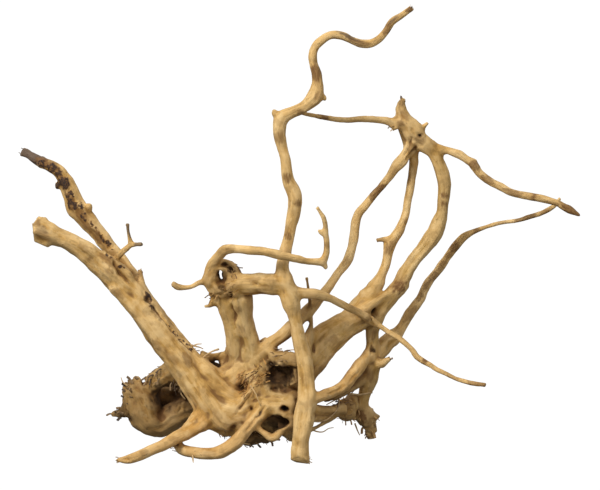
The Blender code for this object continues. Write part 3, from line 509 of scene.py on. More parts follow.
def hollow(centre, half_sizes, number):
    """The points and faces of an ellipsoid with an uneven skin."""
    bpy.ops.mesh.primitive_ico_sphere_add(subdivisions=4, radius=1)
    ball = bpy.context.object
    skin = np.array([vertex.co for vertex in ball.data.vertices])
    faces = [tuple(face.vertices) for face in ball.data.polygons]
    bpy.data.meshes.remove(ball.data)
    skin *= 1 + HOLLOW_UNEVENNESS[1] * noise(skin * HOLLOW_UNEVENNESS[0], number)[:, None]
    return placed([centre])[0] + skin * half_sizes, faces


def coordinates(mesh):
    """A mesh's points in millimetres."""
    values = np.empty(3 * len(mesh.vertices))
    mesh.vertices.foreach_get("co", values)
    return values.reshape(-1, 3) / MM


def moved(mesh, points):
    """Puts the mesh's points in these places, given in millimetres."""
    mesh.vertices.foreach_set("co", (points * MM).ravel())
    mesh.update()


def normals(mesh):
    values = np.empty(3 * len(mesh.vertices))
    mesh.vertex_normals.foreach_get("vector", values)
    return values.reshape(-1, 3)


def edge_ends(mesh):
    values = np.empty(2 * len(mesh.edges), np.int64)
    mesh.edges.foreach_get("vertices", values)
    return values.reshape(-1, 2)


def neighbour_mean(values, ends):
    """For each vertex, the mean of its neighbours' values."""
    count = len(values)
    degree = np.maximum(np.bincount(ends.ravel(), minlength=count), 1)
    columns = values.reshape(count, -1).T
    sums = [np.bincount(ends[:, 0], column[ends[:, 1]], count)
            + np.bincount(ends[:, 1], column[ends[:, 0]], count) for column in columns]
    return (np.array(sums) / degree).T.reshape(values.shape)


def smoothed(points, ends, weights, rounds):
    for _ in range(rounds):
        points = points + PULL * weights[:, None] * (neighbour_mean(points, ends) - points)
    return points


def evened(points, ends, rounds):
    """Takes out the voxels' steps without thinning the twigs: each step in is followed by one out."""
    for _ in range(rounds):
        points = points + PULL * (neighbour_mean(points, ends) - points)
        points = points - PUSH * (neighbour_mean(points, ends) - points)
    return points


def gaps(points, limb):
    """Each point's distance from the limb's skin, and the nearest of the limb's rings."""
    gap, ring = np.empty(len(points)), np.empty(len(points), np.int64)
    for start in range(0, len(points), AT_ONCE):
        some = slice(start, start + AT_ONCE)
        away = np.linalg.norm(points[some, None] - limb["centre"][None], axis=2) - limb["half"]
        ring[some] = away.argmin(axis=1)
        gap[some] = away.min(axis=1)
    return gap, ring


def two_nearest(points):
    """The numbers of each point's nearest and second-nearest limbs, and its distances from them."""
    which = np.zeros((2, len(points)), np.int64)
    gap = np.full((2, len(points)), 2 * REACH)
    for number, limb in enumerate(limbs):
        low = (limb["centre"] - limb["half"][:, None]).min(axis=0) - REACH
        high = (limb["centre"] + limb["half"][:, None]).max(axis=0) + REACH
        near = np.flatnonzero(((points > low) & (points < high)).all(axis=1))
        away = gaps(points[near], limb)[0]
        first = away < gap[0, near]
        second = ~first & (away < gap[1, near])
        gap[1, near[first]], which[1, near[first]] = gap[0, near[first]], which[0, near[first]]
        gap[0, near[first]], which[0, near[first]] = away[first], number
        gap[1, near[second]], which[1, near[second]] = away[second], number
    return which, gap


remeshed(wood, VOXEL)
settled(wood)
balls = [hollow(*place_and_size, number) for number, place_and_size in enumerate(HOLLOWS.values())]
hollows = new_mesh_object("hollows", *joined(balls))
remeshed(hollows, VOXEL)
settled(hollows)
cut(wood, hollows)
remeshed(wood, VOXEL)
settled(wood)

skin = coordinates(wood.data)
ends = edge_ends(wood.data)
nearest, gap = two_nearest(skin)
thickness = np.array([limb["half"].mean() for limb in limbs])[nearest[0]]
closeness = np.clip(1 - gap[1] / FILLET_REACH, 0, 1) * np.interp(thickness, *FILLETED)
skin = smoothed(skin, ends, closeness, FILLET_ROUNDS)
skin = smoothed(skin, ends, np.ones(len(skin)), SMOOTHING_ROUNDS)
skin = evened(skin, ends, EVENING_ROUNDS)
moved(wood.data, skin)

# The weathered surface. Sand and water wore the bare wood along its grain into low flutes and ribs,
# knots stand proud, drying opened cracks, and rot left rough, gnarled places and torn ends.
TRIANGLES = 196000  # triangles that the wood is thinned to; just under the most that a piece may have
FLUTE = (6.5, 55.0, 0.75)  # mm across the grain, mm along it, mm high
RIB = (2.6, 22.0, 0.3)
LUMP = (13.0, 0.9)  # mm across, mm high
GNARL = (4.6, 1.7)
KINK = (7.0, 0.55)
DENT = (3.6, 0.16)
BARK_THICKNESS = 0.9  # mm
BLEND = 5.0  # mm over which one limb's grain gives way to the next one's
LEAST_SHARE = 0.002  # of the second-nearest limb's grain, under which it is left out
NOISE_OFFSET = (17.3, 5.1, 9.7)  # from one limb's place in a noise to the next one's
STOUT = (7.5, 0.35, 1.3)  # mm of half thickness that has the full relief, and its least and most share
GNARL_STOUT = (6, 0.3, 1)  # the same for gnarls
KNOT_STOUT = (5, 0.3, 1)  # and for knots
ROUGH_EDGE = 1.35  # radii from a rough place, past which the wood is smooth
KNOT_PIT = (0.7, 0.3)  # depth and radius of a knot's pit, as shares of the knot's own
# Rough places: across, seen, depth, radius and strength
ROUGH = {
    "head": (-82, 163, -30, 22, 0.8),
    "under_base": (-40, 8, -22, 30, 1.0),
    "under_base_right": (-14, 12, -38, 16, 1.0),
    "right_foot": (66, 18, 16, 22, 1.0),
    "knob": (48, 36, -4, 16, 0.5),
    "log_crest": (-172, 60, 18, 20, 1.0),
    "log_spike": (-180, 32, 25, 16, 1.0),
    "log_rootlets": (-118, 56, 8, 15, 0.9),
    "cavity": (-20, 70, -36, 21, 0.9),
    "slab_edge": (-150, 82, 16, 15, 0.7),
    "valley": (-94, 84, -2, 15, 0.8),
    "broken_end": (-260, 216, -20, 12, 0.6),
    "bark_tip": (-264, 287, 33, 15, 0.5),
    "crown_top": (100, 334, 39, 12, 0.4),
    "strip": (36, 46, -30, 22, 0.5),
    "back": (-30, 30, 70, 26, 0.8),
}
# Knots seen from the front: across, seen, radius and height
KNOT_SPOTS = [
    (-72, 138, 5, 1.5), (-64, 120, 4, 1.3), (-64, 112, 3.5, 1.0), (50, 123, 5, 1.3), (34, 109, 5, 1.3),
    (52, 112, 4, 1.0), (98.5, 157.5, 6, 1.6), (-13, 207, 3.5, 1.0), (-146, 99, 5, 1.0),
    (-110, 88, 5, 1.2), (-150, 138, 5, 1.2), (-190, 177, 5, 1.0), (-219, 195, 5, 1.2), (118, 311, 6, 1.6),
    (107, 322, 5, 1.2), (61, 41, 5, 1.4), (-95, 60, 6, 1.0), (-40, 96, 6, 1.0), (70, 153, 5, 1.2),
    (-31, 166, 5, 0.9), (144, 262, 5, 0.9), (-3, 243, 4, 0.7), (62, 60, 4, 0.8), (-78, 40, 7, 1.0),
    (-12, 170, 5, 1.1),
]
# Cracks seen from the front: points of across and seen, then half width and depth
CRACKS = [
    ([(-50, 165), (-46, 162), (-41, 159)], 1.2, 1.4), ([(-17, 158), (-18, 153), (-19, 148)], 1.1, 1.1),
    ([(-71, 142), (-70, 134), (-67, 127), (-67, 118)], 1.8, 3.2), ([(-64, 124), (-62, 117)], 1.2, 1.2),
    ([(73, 135), (73, 126), (75, 116)], 1.6, 2.0), ([(73, 102), (73, 94), (73, 90)], 1.6, 2.6),
    ([(16, 104), (15, 98), (17, 92)], 1.5, 2.0), ([(128, 161), (124, 152), (120, 143)], 1.6, 1.6),
    ([(-185, 187), (-180, 178), (-175, 170), (-167, 161)], 2.4, 5.0),
    ([(-205, 211), (-198, 201), (-190, 190)], 1.8, 2.4), ([(35, 412), (45, 408), (60, 402)], 1.0, 0.9),
    ([(-107, 30), (-104, 26), (-101, 22)], 1.4, 1.0), ([(-165, -11), (-174, -13), (-182, -13)], 1.6, 2.0),
    ([(-66, 27), (-52, 44), (-42, 58)], 2.0, 2.2), ([(-54, 14), (-44, 28), (-32, 42)], 2.0, 2.2),
    ([(-152, 150), (-140, 133), (-124, 111)], 1.7, 2.2),
    ([(-124, 111), (-112, 99), (-104, 92)], 1.5, 1.6),
    ([(-225, 196), (-212, 188), (-200, 178)], 1.8, 1.0), ([(110, 316), (117, 305), (124, 296)], 1.6, 1.4),
    ([(-36, 96), (-26, 104), (-16, 112)], 1.6, 0.8), ([(48, 62), (56, 70), (62, 78)], 1.6, 1.5),
    ([(26, 50), (38, 55), (48, 62)], 1.6, 1.6), ([(-160, 128), (-142, 106), (-128, 90)], 3.2, 1.0),
    ([(-114, 72), (-104, 56), (-100, 42)], 3.4, 1.0), ([(111, 308), (107, 298), (103, 289)], 1.8, 2.2),
    ([(117, 298), (112, 290), (106, 283)], 1.8, 2.2), ([(96, 322), (93, 316)], 1.2, 1.4),
    ([(98, 330), (104, 324)], 1.2, 1.2), ([(-90, 60), (-80, 50), (-74, 40)], 3.2, 0.9),
    ([(8, 74), (5, 52), (3, 30)], 2.4, 0.6), ([(-170, 52), (-169, 40), (-162, 26)], 2.4, 1.0),
    ([(-160, 18), (-146, 12), (-130, 18)], 2.6, 1.0), ([(-154, 36), (-140, 26), (-124, 30)], 2.4, 1.0),
    ([(-160, 48), (-154, 34), (-146, 24)], 2.2, 0.9),
]
CRACK_WANDER = (3.4, 1.2)  # mm between swings, mm aside
LEAST_TAPER = 0.05  # of a crack's width, at its ends
LINE_STEP = 3  # mm between two points of a crack
LINE_REACH = 12.0  # mm from a crack's line, past which nothing is cut
FRONT_REACH = 2.0  # mm as seen, within which the point in front is looked for
SLENDER = (7.0, 2)  # mm of half thickness under which a limb is drawn onto its round, and mm to it all
ALONE = (3, 3)  # mm from the next limb where the drawing starts, and mm more to all of it
SHORT = (2, 3)  # mm from a limb's end, in the same way
MOST_DRAWN = 0.7  # mm that a point is drawn at the most
# Flat breaks: the side of the block that takes the wood off, the middle of its face, and the way
# that it lies from there
BREAKS = {
    "foot": (30, (0, -84, 5.8), (-0.25, -0.69, -0.68)),
    "foot_left": (20, (-7, -80, 2), (-0.62, -0.15, -0.77)),
    "trunk_end": (60, (-266, -22, 222), (-1, -0.1, -0.08)),
    "trunk_end_under": (24, (-258.5, -22, 211.5), (-0.43, 0, -0.9)),
    "trunk_end_top": (20, (-264, -20, 233), (-0.86, 0, 0.51)),
}
# Scraps of bark from the front: across, seen, half length along the grain, half width and strength
BARK_SCRAPS = [
    (-258, 280, 6, 4, 0.9), (-263, 281, 5, 2.5, 0.9), (-249, 275, 6, 5, 1.0), (-244, 270, 5, 4, 0.9),
    (-240, 263, 6, 6, 1.0), (-236, 258, 4, 5, 1.0), (-246, 262, 4, 5, 1.0), (-232, 248, 4, 6, 1.0),
    (-227, 242, 6, 6, 1.0), (-221, 240, 4, 5, 0.8), (-218, 227, 5, 3, 0.8), (-206, 216, 8, 2, 0.8),
    (-199, 207, 5, 4, 0.9), (-193, 200, 6, 4, 0.9), (-190, 192, 4, 3, 0.8), (-180, 180, 7, 3, 0.8),
    (-125, 114, 12, 2, 0.8), (-111, 101, 9, 2.5, 0.9), (-151, 148, 5, 4, 1.0), (-146, 140, 6, 2, 0.9),
]
BARK_BREAKS = 2.3  # mm between the gaps in a scrap
RAGGED = ((2.6, 0.45, 11), (1.1, 0.25, 12))  # mm between the swings of a spot's edge, their reach, seed
SPOT_EDGE = (3.2, 2.6)  # where a spot's edge starts, and how sharp it is
SPLINTER = (1.5, 1.5, 40)  # mm of a torn splinter across and along the grain
TORN_BACK = 0.4  # how far the whole of a torn end lies back
LAST_EVENING = 3  # rounds, after the ends are cut
# Torn ends: which end of a limb, how far back the tear reaches and how deep it is, in millimetres
TORN = {
    "stem": (-1, 5, 1.6), "bark_limb": (-1, 7, 1.2), "upper_twig": (-1, 6, 1.4),
    "middle_root": (-1, 8, 2.6), "front_root": (-1, 8, 2.0), "head_twig": (-1, 4, 1.4),
    "crown": (0, 5, 1.2), "right_foot": (-1, 6, 2.4), "log_spike": (-1, 6, 1.6),
    "slab": (-1, 8, 2.6), "slab_lower": (-1, 8, 2.6), "back_root": (-1, 8, 2.0),
    "back_root_right": (-1, 6, 1.6), "post_stub": (-1, 4, 1.2), "curled_log": (0, 8, 2.6),
    "lower_trunk_left": (0, 6, 1.6), "side_twig_out": (-1, 3, 1.0),
}


def own_axes(points, which):
    """Each point's place in its limb's own axes: two across the grain and one along it."""
    grain = np.zeros((len(points), 3))
    for number in np.unique(which):
        limb = limbs[number]
        here = np.flatnonzero(which == number)
        ring = gaps(points[here], limb)[1]
        ahead = np.einsum("ij,ij->i", points[here] - limb["centre"][ring], limb["run"][ring])
        place = np.clip(ring + ahead / SPINE_STEP, 0, len(limb["centre"]) - 1.001)
        low = place.astype(int)
        share = (place - low)[:, None]
        mixed = {axis: limb[axis][low] * (1 - share) + limb[axis][low + 1] * share
                 for axis in ("centre", "side", "up")}
        off = points[here] - mixed["centre"]
        grain[here, 0] = np.einsum("ij,ij->i", off, mixed["side"])
        grain[here, 1] = np.einsum("ij,ij->i", off, mixed["up"])
        grain[here, 2] = limb["length"][ring] + ahead
    return grain


def stretched(grain, which, across, along):
    """Places in a noise that is drawn out along the grain, and that differs from limb to limb."""
    return grain / (across, across, along) + which[:, None] * NOISE_OFFSET


def smooth_step(values):
    values = np.clip(values, 0, 1)
    return values * values * (3 - 2 * values)


def second_share(gap):
    """How much of the second-nearest limb's grain shows: half where the two are as near."""
    return 0.5 - 0.5 * smooth_step((gap[1] - gap[0]) / BLEND)


def grained(points, which, gap, across, along, seed):
    """A noise along the grain that passes smoothly from each limb to its neighbour."""
    share = second_share(gap)
    values = noise(stretched(own_axes(points, which[0]), which[0], across, along), seed)
    near = np.flatnonzero(share > LEAST_SHARE)
    other = which[1][near]
    second = noise(stretched(own_axes(points[near], other), other, across, along), seed)
    values[near] += share[near] * (second - values[near])
    return values


def as_seen(points):
    """Across, seen height and distance into the view, of points in space."""
    level, tilt = math.cos(VIEW_TILT), math.sin(VIEW_TILT)
    return np.column_stack([points[:, 0], points[:, 2] * level + points[:, 1] * tilt,
                            points[:, 1] * level - points[:, 2] * tilt])


def front_point(views, points, across, seen):
    """The point of the skin that the view meets first at this place."""
    away = np.hypot(views[:, 0] - across, views[:, 1] - seen)
    near = np.flatnonzero(away < away.min() + FRONT_REACH)
    return points[near[views[near, 2].argmin()]]


def front_line(views, points, line):
    """The points of the skin along a line of straight stretches, as seen from the front."""
    line = np.array(line, float)
    reach = np.concatenate([[0], np.cumsum(np.linalg.norm(np.diff(line, axis=0), axis=1))])
    steps = np.linspace(0, reach[-1], max(2, round(reach[-1] / LINE_STEP)))
    spots = np.column_stack([np.interp(steps, reach, line[:, side]) for side in (0, 1)])
    return np.array([front_point(views, points, *spot) for spot in spots])


def near_line(points, line):
    """The points near a line of straight stretches: which, how far from it, and how far along, 0 to 1."""
    low, high = line.min(axis=0) - LINE_REACH, line.max(axis=0) + LINE_REACH
    near = np.flatnonzero(((points > low) & (points < high)).all(axis=1))
    best, along = np.full(len(near), np.inf), np.zeros(len(near))
    for number, (start, end) in enumerate(zip(line, line[1:])):
        run = end - start
        share = np.clip((points[near] - start) @ run / max(run @ run, 1e-9), 0, 1)
        away = np.linalg.norm(points[near] - start - share[:, None] * run, axis=1)
        along = np.where(away < best, (number + share) / (len(line) - 1), along)
        best = np.minimum(best, away)
    return near, best, along


def cracks_near(points):
    """For each crack: the points near it, their distance, its taper there, its width and its depth."""
    for line, (_, width, depth) in zip(crack_lines, CRACKS):
        near, away, along = near_line(points, line)
        away += CRACK_WANDER[1] * noise(points[near] / CRACK_WANDER[0], 7)
        taper = np.sqrt(np.clip(4 * along * (1 - along), LEAST_TAPER, 1))
        yield near, away, taper, width, depth


def spread(spots, points, views, which):
    """How strongly each point lies in one of the spots, with ragged edges, from 0 to 1."""
    ragged = sum(reach * noise(points / size, seed) for size, reach, seed in RAGGED)
    strongest = np.zeros(len(points))
    for across, seen, long, wide, strength in spots:
        centre = front_point(views, points, across, seen)
        number = which[np.linalg.norm(points - centre, axis=1).argmin()]
        limb = limbs[number]
        run = limb["run"][np.linalg.norm(limb["centre"] - centre, axis=1).argmin()]
        off = points - centre
        ahead = off @ run
        beside = np.linalg.norm(off - ahead[:, None] * run, axis=1)
        away = np.hypot(ahead / long, beside / wide) + ragged
        strongest = np.maximum(strongest, strength * smooth_step(SPOT_EDGE[0] - SPOT_EDGE[1] * away))
    return strongest


def bark_at(points, views, which):
    """How much bark is left at each point, in broken scraps, from 0 to 1."""
    broken = two_noises(points, BARK_BREAKS, 2.2, 0.5, 14)
    scraps = spread(BARK_SCRAPS, points, views, which)
    return smooth_step(2.2 * (scraps - 0.5 + 0.75 * broken)) * smooth_step(5 * scraps)


def roughness_at(points):
    """How rough the wood is at each point, from 0 to 1."""
    rough = np.zeros(len(points))
    for across, seen, depth, radius, strength in ROUGH.values():
        away = np.linalg.norm(points - placed([(across, seen, depth)]), axis=1) / radius
        rough = np.maximum(rough, strength * smooth_step(ROUGH_EDGE - away))
    return rough


def by_thickness(half, full, least, most):
    """How strongly a relief shows: wholly at the full half thickness, and less on slighter limbs."""
    return np.clip(half / full, least, most)


def torn_at(points, which):
    """The number of the limb whose torn end each point is on, or -1, and its nearness to that end."""
    owner, nearness = np.full(len(points), -1), np.zeros(len(points))
    for name, (end, reach, _) in TORN.items():
        number = names.index(name)
        limb = limbs[number]
        here = np.flatnonzero(which == number)
        back = (points[here] - limb["centre"][end]) @ limb["run"][end] * (1 if end else -1)
        close = 1 + back / reach
        owner[here[close > 0]] = number
        nearness[here] = np.clip(close, 0, 1)
    return owner, nearness


grain = own_axes(skin, nearest[0])
half, to_end = np.zeros((2, len(skin)))
for number, limb in enumerate(limbs):
    here = nearest[0] == number
    half[here] = np.interp(grain[here, 2], limb["length"], limb["half"])
    to_end[here] = np.minimum(grain[here, 2], limb["length"][-1] - grain[here, 2])
# Slender limbs that stand alone are drawn onto their true round, which takes out the mesh's steps
slender = (smooth_step((SLENDER[0] - half) / SLENDER[1]) * smooth_step((gap[1] - ALONE[0]) / ALONE[1])
           * smooth_step((to_end - SHORT[0]) / SHORT[1]))
excess = np.clip(np.hypot(grain[:, 0], grain[:, 1]) - half, -MOST_DRAWN, MOST_DRAWN)
skin = skin - (slender * excess)[:, None] * normals(wood.data)
moved(wood.data, skin)
stout = by_thickness(half, *STOUT)
rough = roughness_at(skin)
# The flutes meet in sharp ridges, where their noise passes through nought
height = FLUTE[2] * stout * (0.8 - 2 * np.abs(grained(skin, nearest, gap, FLUTE[0], FLUTE[1], 1)))
height += RIB[2] * stout * grained(skin, nearest, gap, RIB[0], RIB[1], 2)
height += LUMP[1] * stout * noise(skin / LUMP[0], 3)
height += KINK[1] * stout * noise(skin / KINK[0], 8)
height += DENT[1] * noise(skin / DENT[0], 4) * (1 + rough)
gnarled = two_noises(skin, GNARL[0], 2.1, 0.55, 5)
height += GNARL[1] * rough * by_thickness(half, *GNARL_STOUT) * gnarled

views = as_seen(skin)
for across, seen, radius, rise in KNOT_SPOTS:
    away = np.linalg.norm(skin - front_point(views, skin, across, seen), axis=1) / radius
    pit = KNOT_PIT[0] * np.exp(-(away / KNOT_PIT[1]) ** 2)
    height += rise * (np.exp(-away**2) - pit) * by_thickness(half, *KNOT_STOUT)
crack_lines = [front_line(views, skin, line) for line, *_ in CRACKS]
for near, away, taper, width, depth in cracks_near(skin):
    height[near] -= depth * taper * np.exp(-(away / width / taper) ** 2)
height += BARK_THICKNESS * bark_at(skin, views, nearest[0])
skin = skin + height[:, None] * normals(wood.data)
owner, nearness = torn_at(skin, nearest[0])
for name, (end, reach, depth) in TORN.items():
    number = names.index(name)
    here = owner == number
    spikes = noise(grain[here] / SPLINTER, number) - TORN_BACK
    run = limbs[number]["run"][end] * (1 if end else -1)
    skin[here] += (depth * nearness[here] * spikes)[:, None] * run
skin = smoothed(skin, ends, np.ones(len(skin)), 1)
moved(wood.data, skin)

bpy.ops.mesh.primitive_cube_add(size=GROUND_SIDE, location=(0, 0, -GROUND_SIDE / 2))
cut(wood, bpy.context.object)
for side, middle, way in BREAKS.values():
    way = Vector(way).normalized()
    bpy.ops.mesh.primitive_cube_add(size=side * MM, location=(Vector(middle) + way * side / 2) * MM,
                                    rotation=way.to_track_quat("Z", "Y").to_euler())
    cut(wood, bpy.context.object)
triangles = sum(len(face.vertices) - 2 for face in wood.data.polygons)
fewer = wood.modifiers.new("fewer", "DECIMATE")
fewer.ratio = min(1, TRIANGLES / triangles)
settled(wood)
skin = evened(coordinates(wood.data), edge_ends(wood.data), LAST_EVENING)
skin[:, 2] = np.maximum(skin[:, 2], 0)
moved(wood.data, skin)
wood.data.shade_smooth()

# The bare wood's finish: pale straw to honey, streaked along the grain, with brown bands and
# patches where scraps of inner bark are left, rot and painted shade in the hollows, painted shade
# in the cracks, in the grooves and wherever the wood hides itself, and a grey weathered tip.

# Stains seen from the front, with a painted shadow under the right foot's spike among them:
# across, seen, half length along the grain, half width and strength
STAINS_AND_SHADOW = [
    (13, 373, 8, 8, 1.0), (17, 382, 4, 3, 0.6), (-22, 303, 6, 5, 0.6), (-14, 265, 5, 5, 0.9),
    (-2, 239.5, 3, 4, 0.8), (-13, 207, 3.5, 4, 0.9), (-17, 243, 5, 2, 0.7), (25, 326.5, 7, 6, 1.0),
    (2, 330, 3, 4, 0.8), (80, 255, 9, 7, 1.0), (74, 247, 4, 3, 0.8), (173, 283, 4.5, 6, 0.9),
    (175, 279, 5, 5, 0.8), (185.5, 266.5, 7, 5, 0.7), (208.5, 255.5, 7, 3, 0.8), (214, 252, 5, 4, 0.8),
    (232.5, 248, 3, 6, 1.0), (268, 236, 11, 8, 1.0), (276, 232, 6, 6, 0.8), (252, 240, 8, 3, 0.6),
    (154, 197.5, 6, 6, 0.9), (149.5, 189.5, 4, 3, 0.6), (144, 182, 6, 3, 0.6), (136.5, 169, 7, 5, 0.8),
    (128, 158, 7, 3, 0.7), (122, 147, 5, 3, 0.6), (112, 129, 10, 4, 0.6), (0, -15, 2.5, 10, 0.5),
    (226, 227, 13, 4, 0.8), (244, 233, 7, 3, 0.7), (202, 223, 5, 4, 0.5), (178, 215, 4, 4, 0.8),
    (146, 250, 3, 4, 1.0), (145.5, 240, 3, 4, 1.0), (98.5, 157.5, 7, 7, 1.0), (176, 62, 13, 7, 0.65),
    (185, 61, 4, 4, 0.9), (125, 86, 3, 4, 1.0), (150, 70, 8, 4, 0.5), (-146, 99, 6, 5, 0.6),
    (-110, 87.5, 8, 5, 0.6), (-190, 186, 10, 5, 0.6), (75, 204, 7, 4, 0.5), (-124, 160, 9, 5, 0.4),
    # The one at 64 across and 28 high is painted shadow under the right foot's spike
    (70, 128, 3, 8, 0.6), (55, 140, 14, 3, 0.4), (64, 28, 9, 4, 1.0), (18, 346, 5, 3, 0.7),
    (107, 434, 4, 4, 0.9), (84, 414, 6, 5, 0.8), (63, 399, 7, 3, 0.8), (56, 402, 8, 2, 0.7),
    (100, 345, 4, 4, 0.6), (91, 196, 7, 5, 0.8), (108, 224, 3, 3, 0.5), (100, 321, 5, 3, 0.7),
    (111, 296, 6, 4, 0.7), (-60, 115, 5, 4, 0.5), (-63, 135, 4, 3, 0.6), (-156, 177, 6, 3, 0.6),
    (-212, 198, 7, 4, 0.5), (35, 105, 6, 4, 0.5), (-130, 86, 9, 5, 0.4), (-83, 28, 6, 4, 0.4),
    (-125, 8, 5, 4, 0.4), (-154, -7, 5, 3, 0.5), (-92, -8, 6, 4, 0.4), (72, 68, 5, 4, 0.6),
    (76, 110, 5, 3, 0.7), (-48, 168, 6, 4, 0.5), (-36, 158, 8, 3, 0.4), (24, 200, 3, 4, 0.6),
    (-70, 195, 6, 3, 0.4), (-258, 285, 7, 5, 0.9), (-247, 277, 9, 5, 0.9), (-240, 264, 9, 5, 0.95),
    (-235, 252, 7, 4, 0.6), (-231, 243, 9, 5, 0.9), (-222, 231, 9, 4, 0.85), (-213, 217, 12, 4, 0.8),
    (-204, 206, 9, 4, 0.85), (-195, 190, 8, 3, 0.8), (-268, 213, 6, 9, 0.7), (-256, 207, 8, 5, 0.6),
    (-262, 225, 6, 4, 0.65), (-192, 172, 6, 3, 0.6), (-142, 132, 10, 3, 0.6), (120, 305, 6, 5, 0.6),
    (104, 332, 6, 4, 0.6), (7, 42, 6, 4, 0.35), (47, 185, 5, 3, 0.5), (13, 141, 6, 4, 0.45),
    (-20, 218, 5, 2.5, 0.5), (-182, 150, 9, 4, 0.5),
]
# Rot and deep shade: across, seen, depth, radius and strength
ROT_AND_SHADE_SPOTS = [
    (-21, 70, -36, 17, 1.0), (-12, 76, -38, 12, 0.9), (-22, 24, -38, 15, 0.85), (-134, 48, 8, 19, 0.9),
    (-112, 46, 4, 14, 0.8), (-77, 172, -30, 8, 0.6), (-69, 176, -35, 5, 0.9), (-75, 181, -34, 3, 0.8),
    (-79, 158, -36, 4, 0.9), (-88, 80, -2, 11, 0.8), (-151, 147, -24, 6, 1.0), (-176, 170, -10, 8, 0.7),
    (-16, 37, -42, 6, 1.0), (73, 94, 5, 3.4, 1.0), (-40, 4, -16, 16, 0.7), (-6, 6, -36, 9, 0.6),
    (119, 310, 33, 3, 0.85), (-4, -19, -86, 7, 0.7), (-180, 32, 24, 11, 0.7), (-174, 66, 20, 8, 0.5),
    (56, 16, 8, 10, 0.5), (-3, -13, -84, 5, 0.45), (4, -15, -84, 5, 0.45), (40, 56, -10, 10, 0.5),
    (-70, 12, -22, 10, 0.6),
]
# Grey, weathered places, in the same rows as the stains
WEATHERED = [
    (-270, 289, 15, 9, 1.0), (-279, 292, 9, 8, 1.0), (-172, 215, 10, 3, 0.8), (-160, 201, 7, 4, 0.8),
    (-250, 281, 7, 6, 0.5), (50, 408, 16, 2, 0.8), (108, 437, 4, 2, 0.7), (90, 420, 7, 1.5, 0.6),
    (-255, 218, 8, 4, 0.4),
]
# Colour of whole limbs: warmth from -1, olive, to 1, orange, and darkness from 0 to 1
LIMB_TONES = {
    "front_root": (0.8, 0.05), "middle_root": (0.8, 0.05), "right_root": (0.9, 0.05),
    "small_root_1": (0.6, 0.3), "small_root_2": (0.3, 0.6), "small_root_3": (0.2, 0.7),
    "loose_strip": (0.2, 0.75), "right_foot": (0.4, 0.4), "right_foot_front": (0.3, 0.6),
    "right_limb": (-0.5, 0.05), "trunk": (0.0, 0.0), "curled_log": (0.05, 0.72), "log_back": (-0.1, 0.8),
    "log_spike": (0.0, 0.8), "log_crest": (0.0, 0.6), "slab": (0.1, 0.5), "slab_lower": (0.1, 0.6),
    "valley": (-0.3, 0.5), "base_bottom": (0.1, 0.85), "base_spur": (0.1, 0.7), "thin_twig": (-0.4, 0.85),
    "crown_back": (0.0, 0.45), "lower_trunk": (-0.4, 0.1), "base": (-0.4, 0.3), "base_top": (0.0, 0.45),
    "base_front": (-0.2, 0.3), "base_shelf": (-0.5, 0.1), "post_left": (-0.4, 0.1),
    "post_right": (-0.5, 0.1), "arm": (-0.3, 0.05), "back_root": (-0.1, 0.5),
    "back_root_right": (-0.1, 0.5), "lower_trunk_left": (-0.5, 0.3), "head_ring": (0.2, 0.2),
    "base_rootlet": (0.7, 0.1), "stem": (0.1, 0.0), "inner_limb": (-0.1, 0.0), "loop_twig": (0.1, 0.0),
    "outer_stem": (0.3, 0.0), "long_twig": (0.3, 0.0), "base_left": (-0.2, 0.2),
    "base_small_root": (0.4, 0.1), "post_tie": (-0.3, 0.3), "upper_twig": (0.2, 0.05),
}
ROT_AND_SHADE_RAGGED = (3, 0.3, 13)  # mm between the swings of the edge of a place of rot and painted shade, their reach, seed
ROT_AND_SHADE_EDGE = (3.0, 2.9)  # where its edge starts, and how sharp it is
CRACK_DARK = (0.7, 1.6)  # mm of a crack's depth at which painted shade starts in it, and mm more to black
CRACK_DARK_WIDTH = 0.75  # of the crack's own
GRAIN_OFFSET = (31.0, 47.0, 83.0)  # from one limb's place in the material's grain to the next one's
GROOVES = ((2, 2), (10, 0.6))  # rounds of taking the mean, and share, for fine and for broad grooves
GROOVE_GAIN = 1.25
SHELTER_RAYS = 20
SHELTER_REACH = 60  # mm, past which nothing hides a point
SHELTER_EVERY = 5  # one vertex in so many is measured
SHELTER_START = 0.6  # mm off the skin
SHELTER_NEIGHBOURS = 3
SHELTER_ROUNDS = 4
TONE_ROUNDS = 12
GROOVE_ROUNDS = 2


def shelter(mesh):
    """How much of each vertex's outlook the wood itself hides, from 0 to 1."""
    points, out = coordinates(mesh), normals(mesh)
    tree = BVHTree.FromPolygons(points.tolist(), [tuple(face.vertices) for face in mesh.polygons])
    golden = math.pi * (3 - math.sqrt(5))
    turn = np.arange(SHELTER_RAYS) * golden
    rise = np.sqrt((np.arange(SHELTER_RAYS) + 0.5) / SHELTER_RAYS)
    spokes = np.column_stack([np.cos(turn) * rise, np.sin(turn) * rise, np.sqrt(1 - rise**2)])
    sampled = np.arange(0, len(points), SHELTER_EVERY)
    found = kdtree.KDTree(len(sampled))
    hidden = np.zeros(len(sampled))
    for index, vertex in enumerate(sampled):
        normal = Vector(out[vertex])
        spin = normal.to_track_quat("Z", "Y").to_matrix()
        start = Vector(points[vertex]) + normal * SHELTER_START
        hits = [tree.ray_cast(start, spin @ Vector(spoke), SHELTER_REACH)[0] for spoke in spokes]
        hidden[index] = sum(hit is not None for hit in hits) / SHELTER_RAYS
        found.insert(points[vertex], index)
    found.balance()
    near = ([spot[1] for spot in found.find_n(point, SHELTER_NEIGHBOURS)] for point in points)
    return np.array([hidden[few].mean() for few in near])


def keep(mesh, name, values, domain="POINT"):
    """Stores a number or a vector for each vertex or corner, for the material to read."""
    kind, field = ("FLOAT", "value") if values.ndim == 1 else ("FLOAT_VECTOR", "vector")
    data = mesh.attributes.new(name, kind, domain).data
    data.foreach_set(field, np.ascontiguousarray(values, np.float32).ravel())


def softened(values, ends, rounds):
    """The values after so many rounds of taking each vertex's neighbours' mean."""
    for _ in range(rounds):
        values = neighbour_mean(values, ends)
    return values


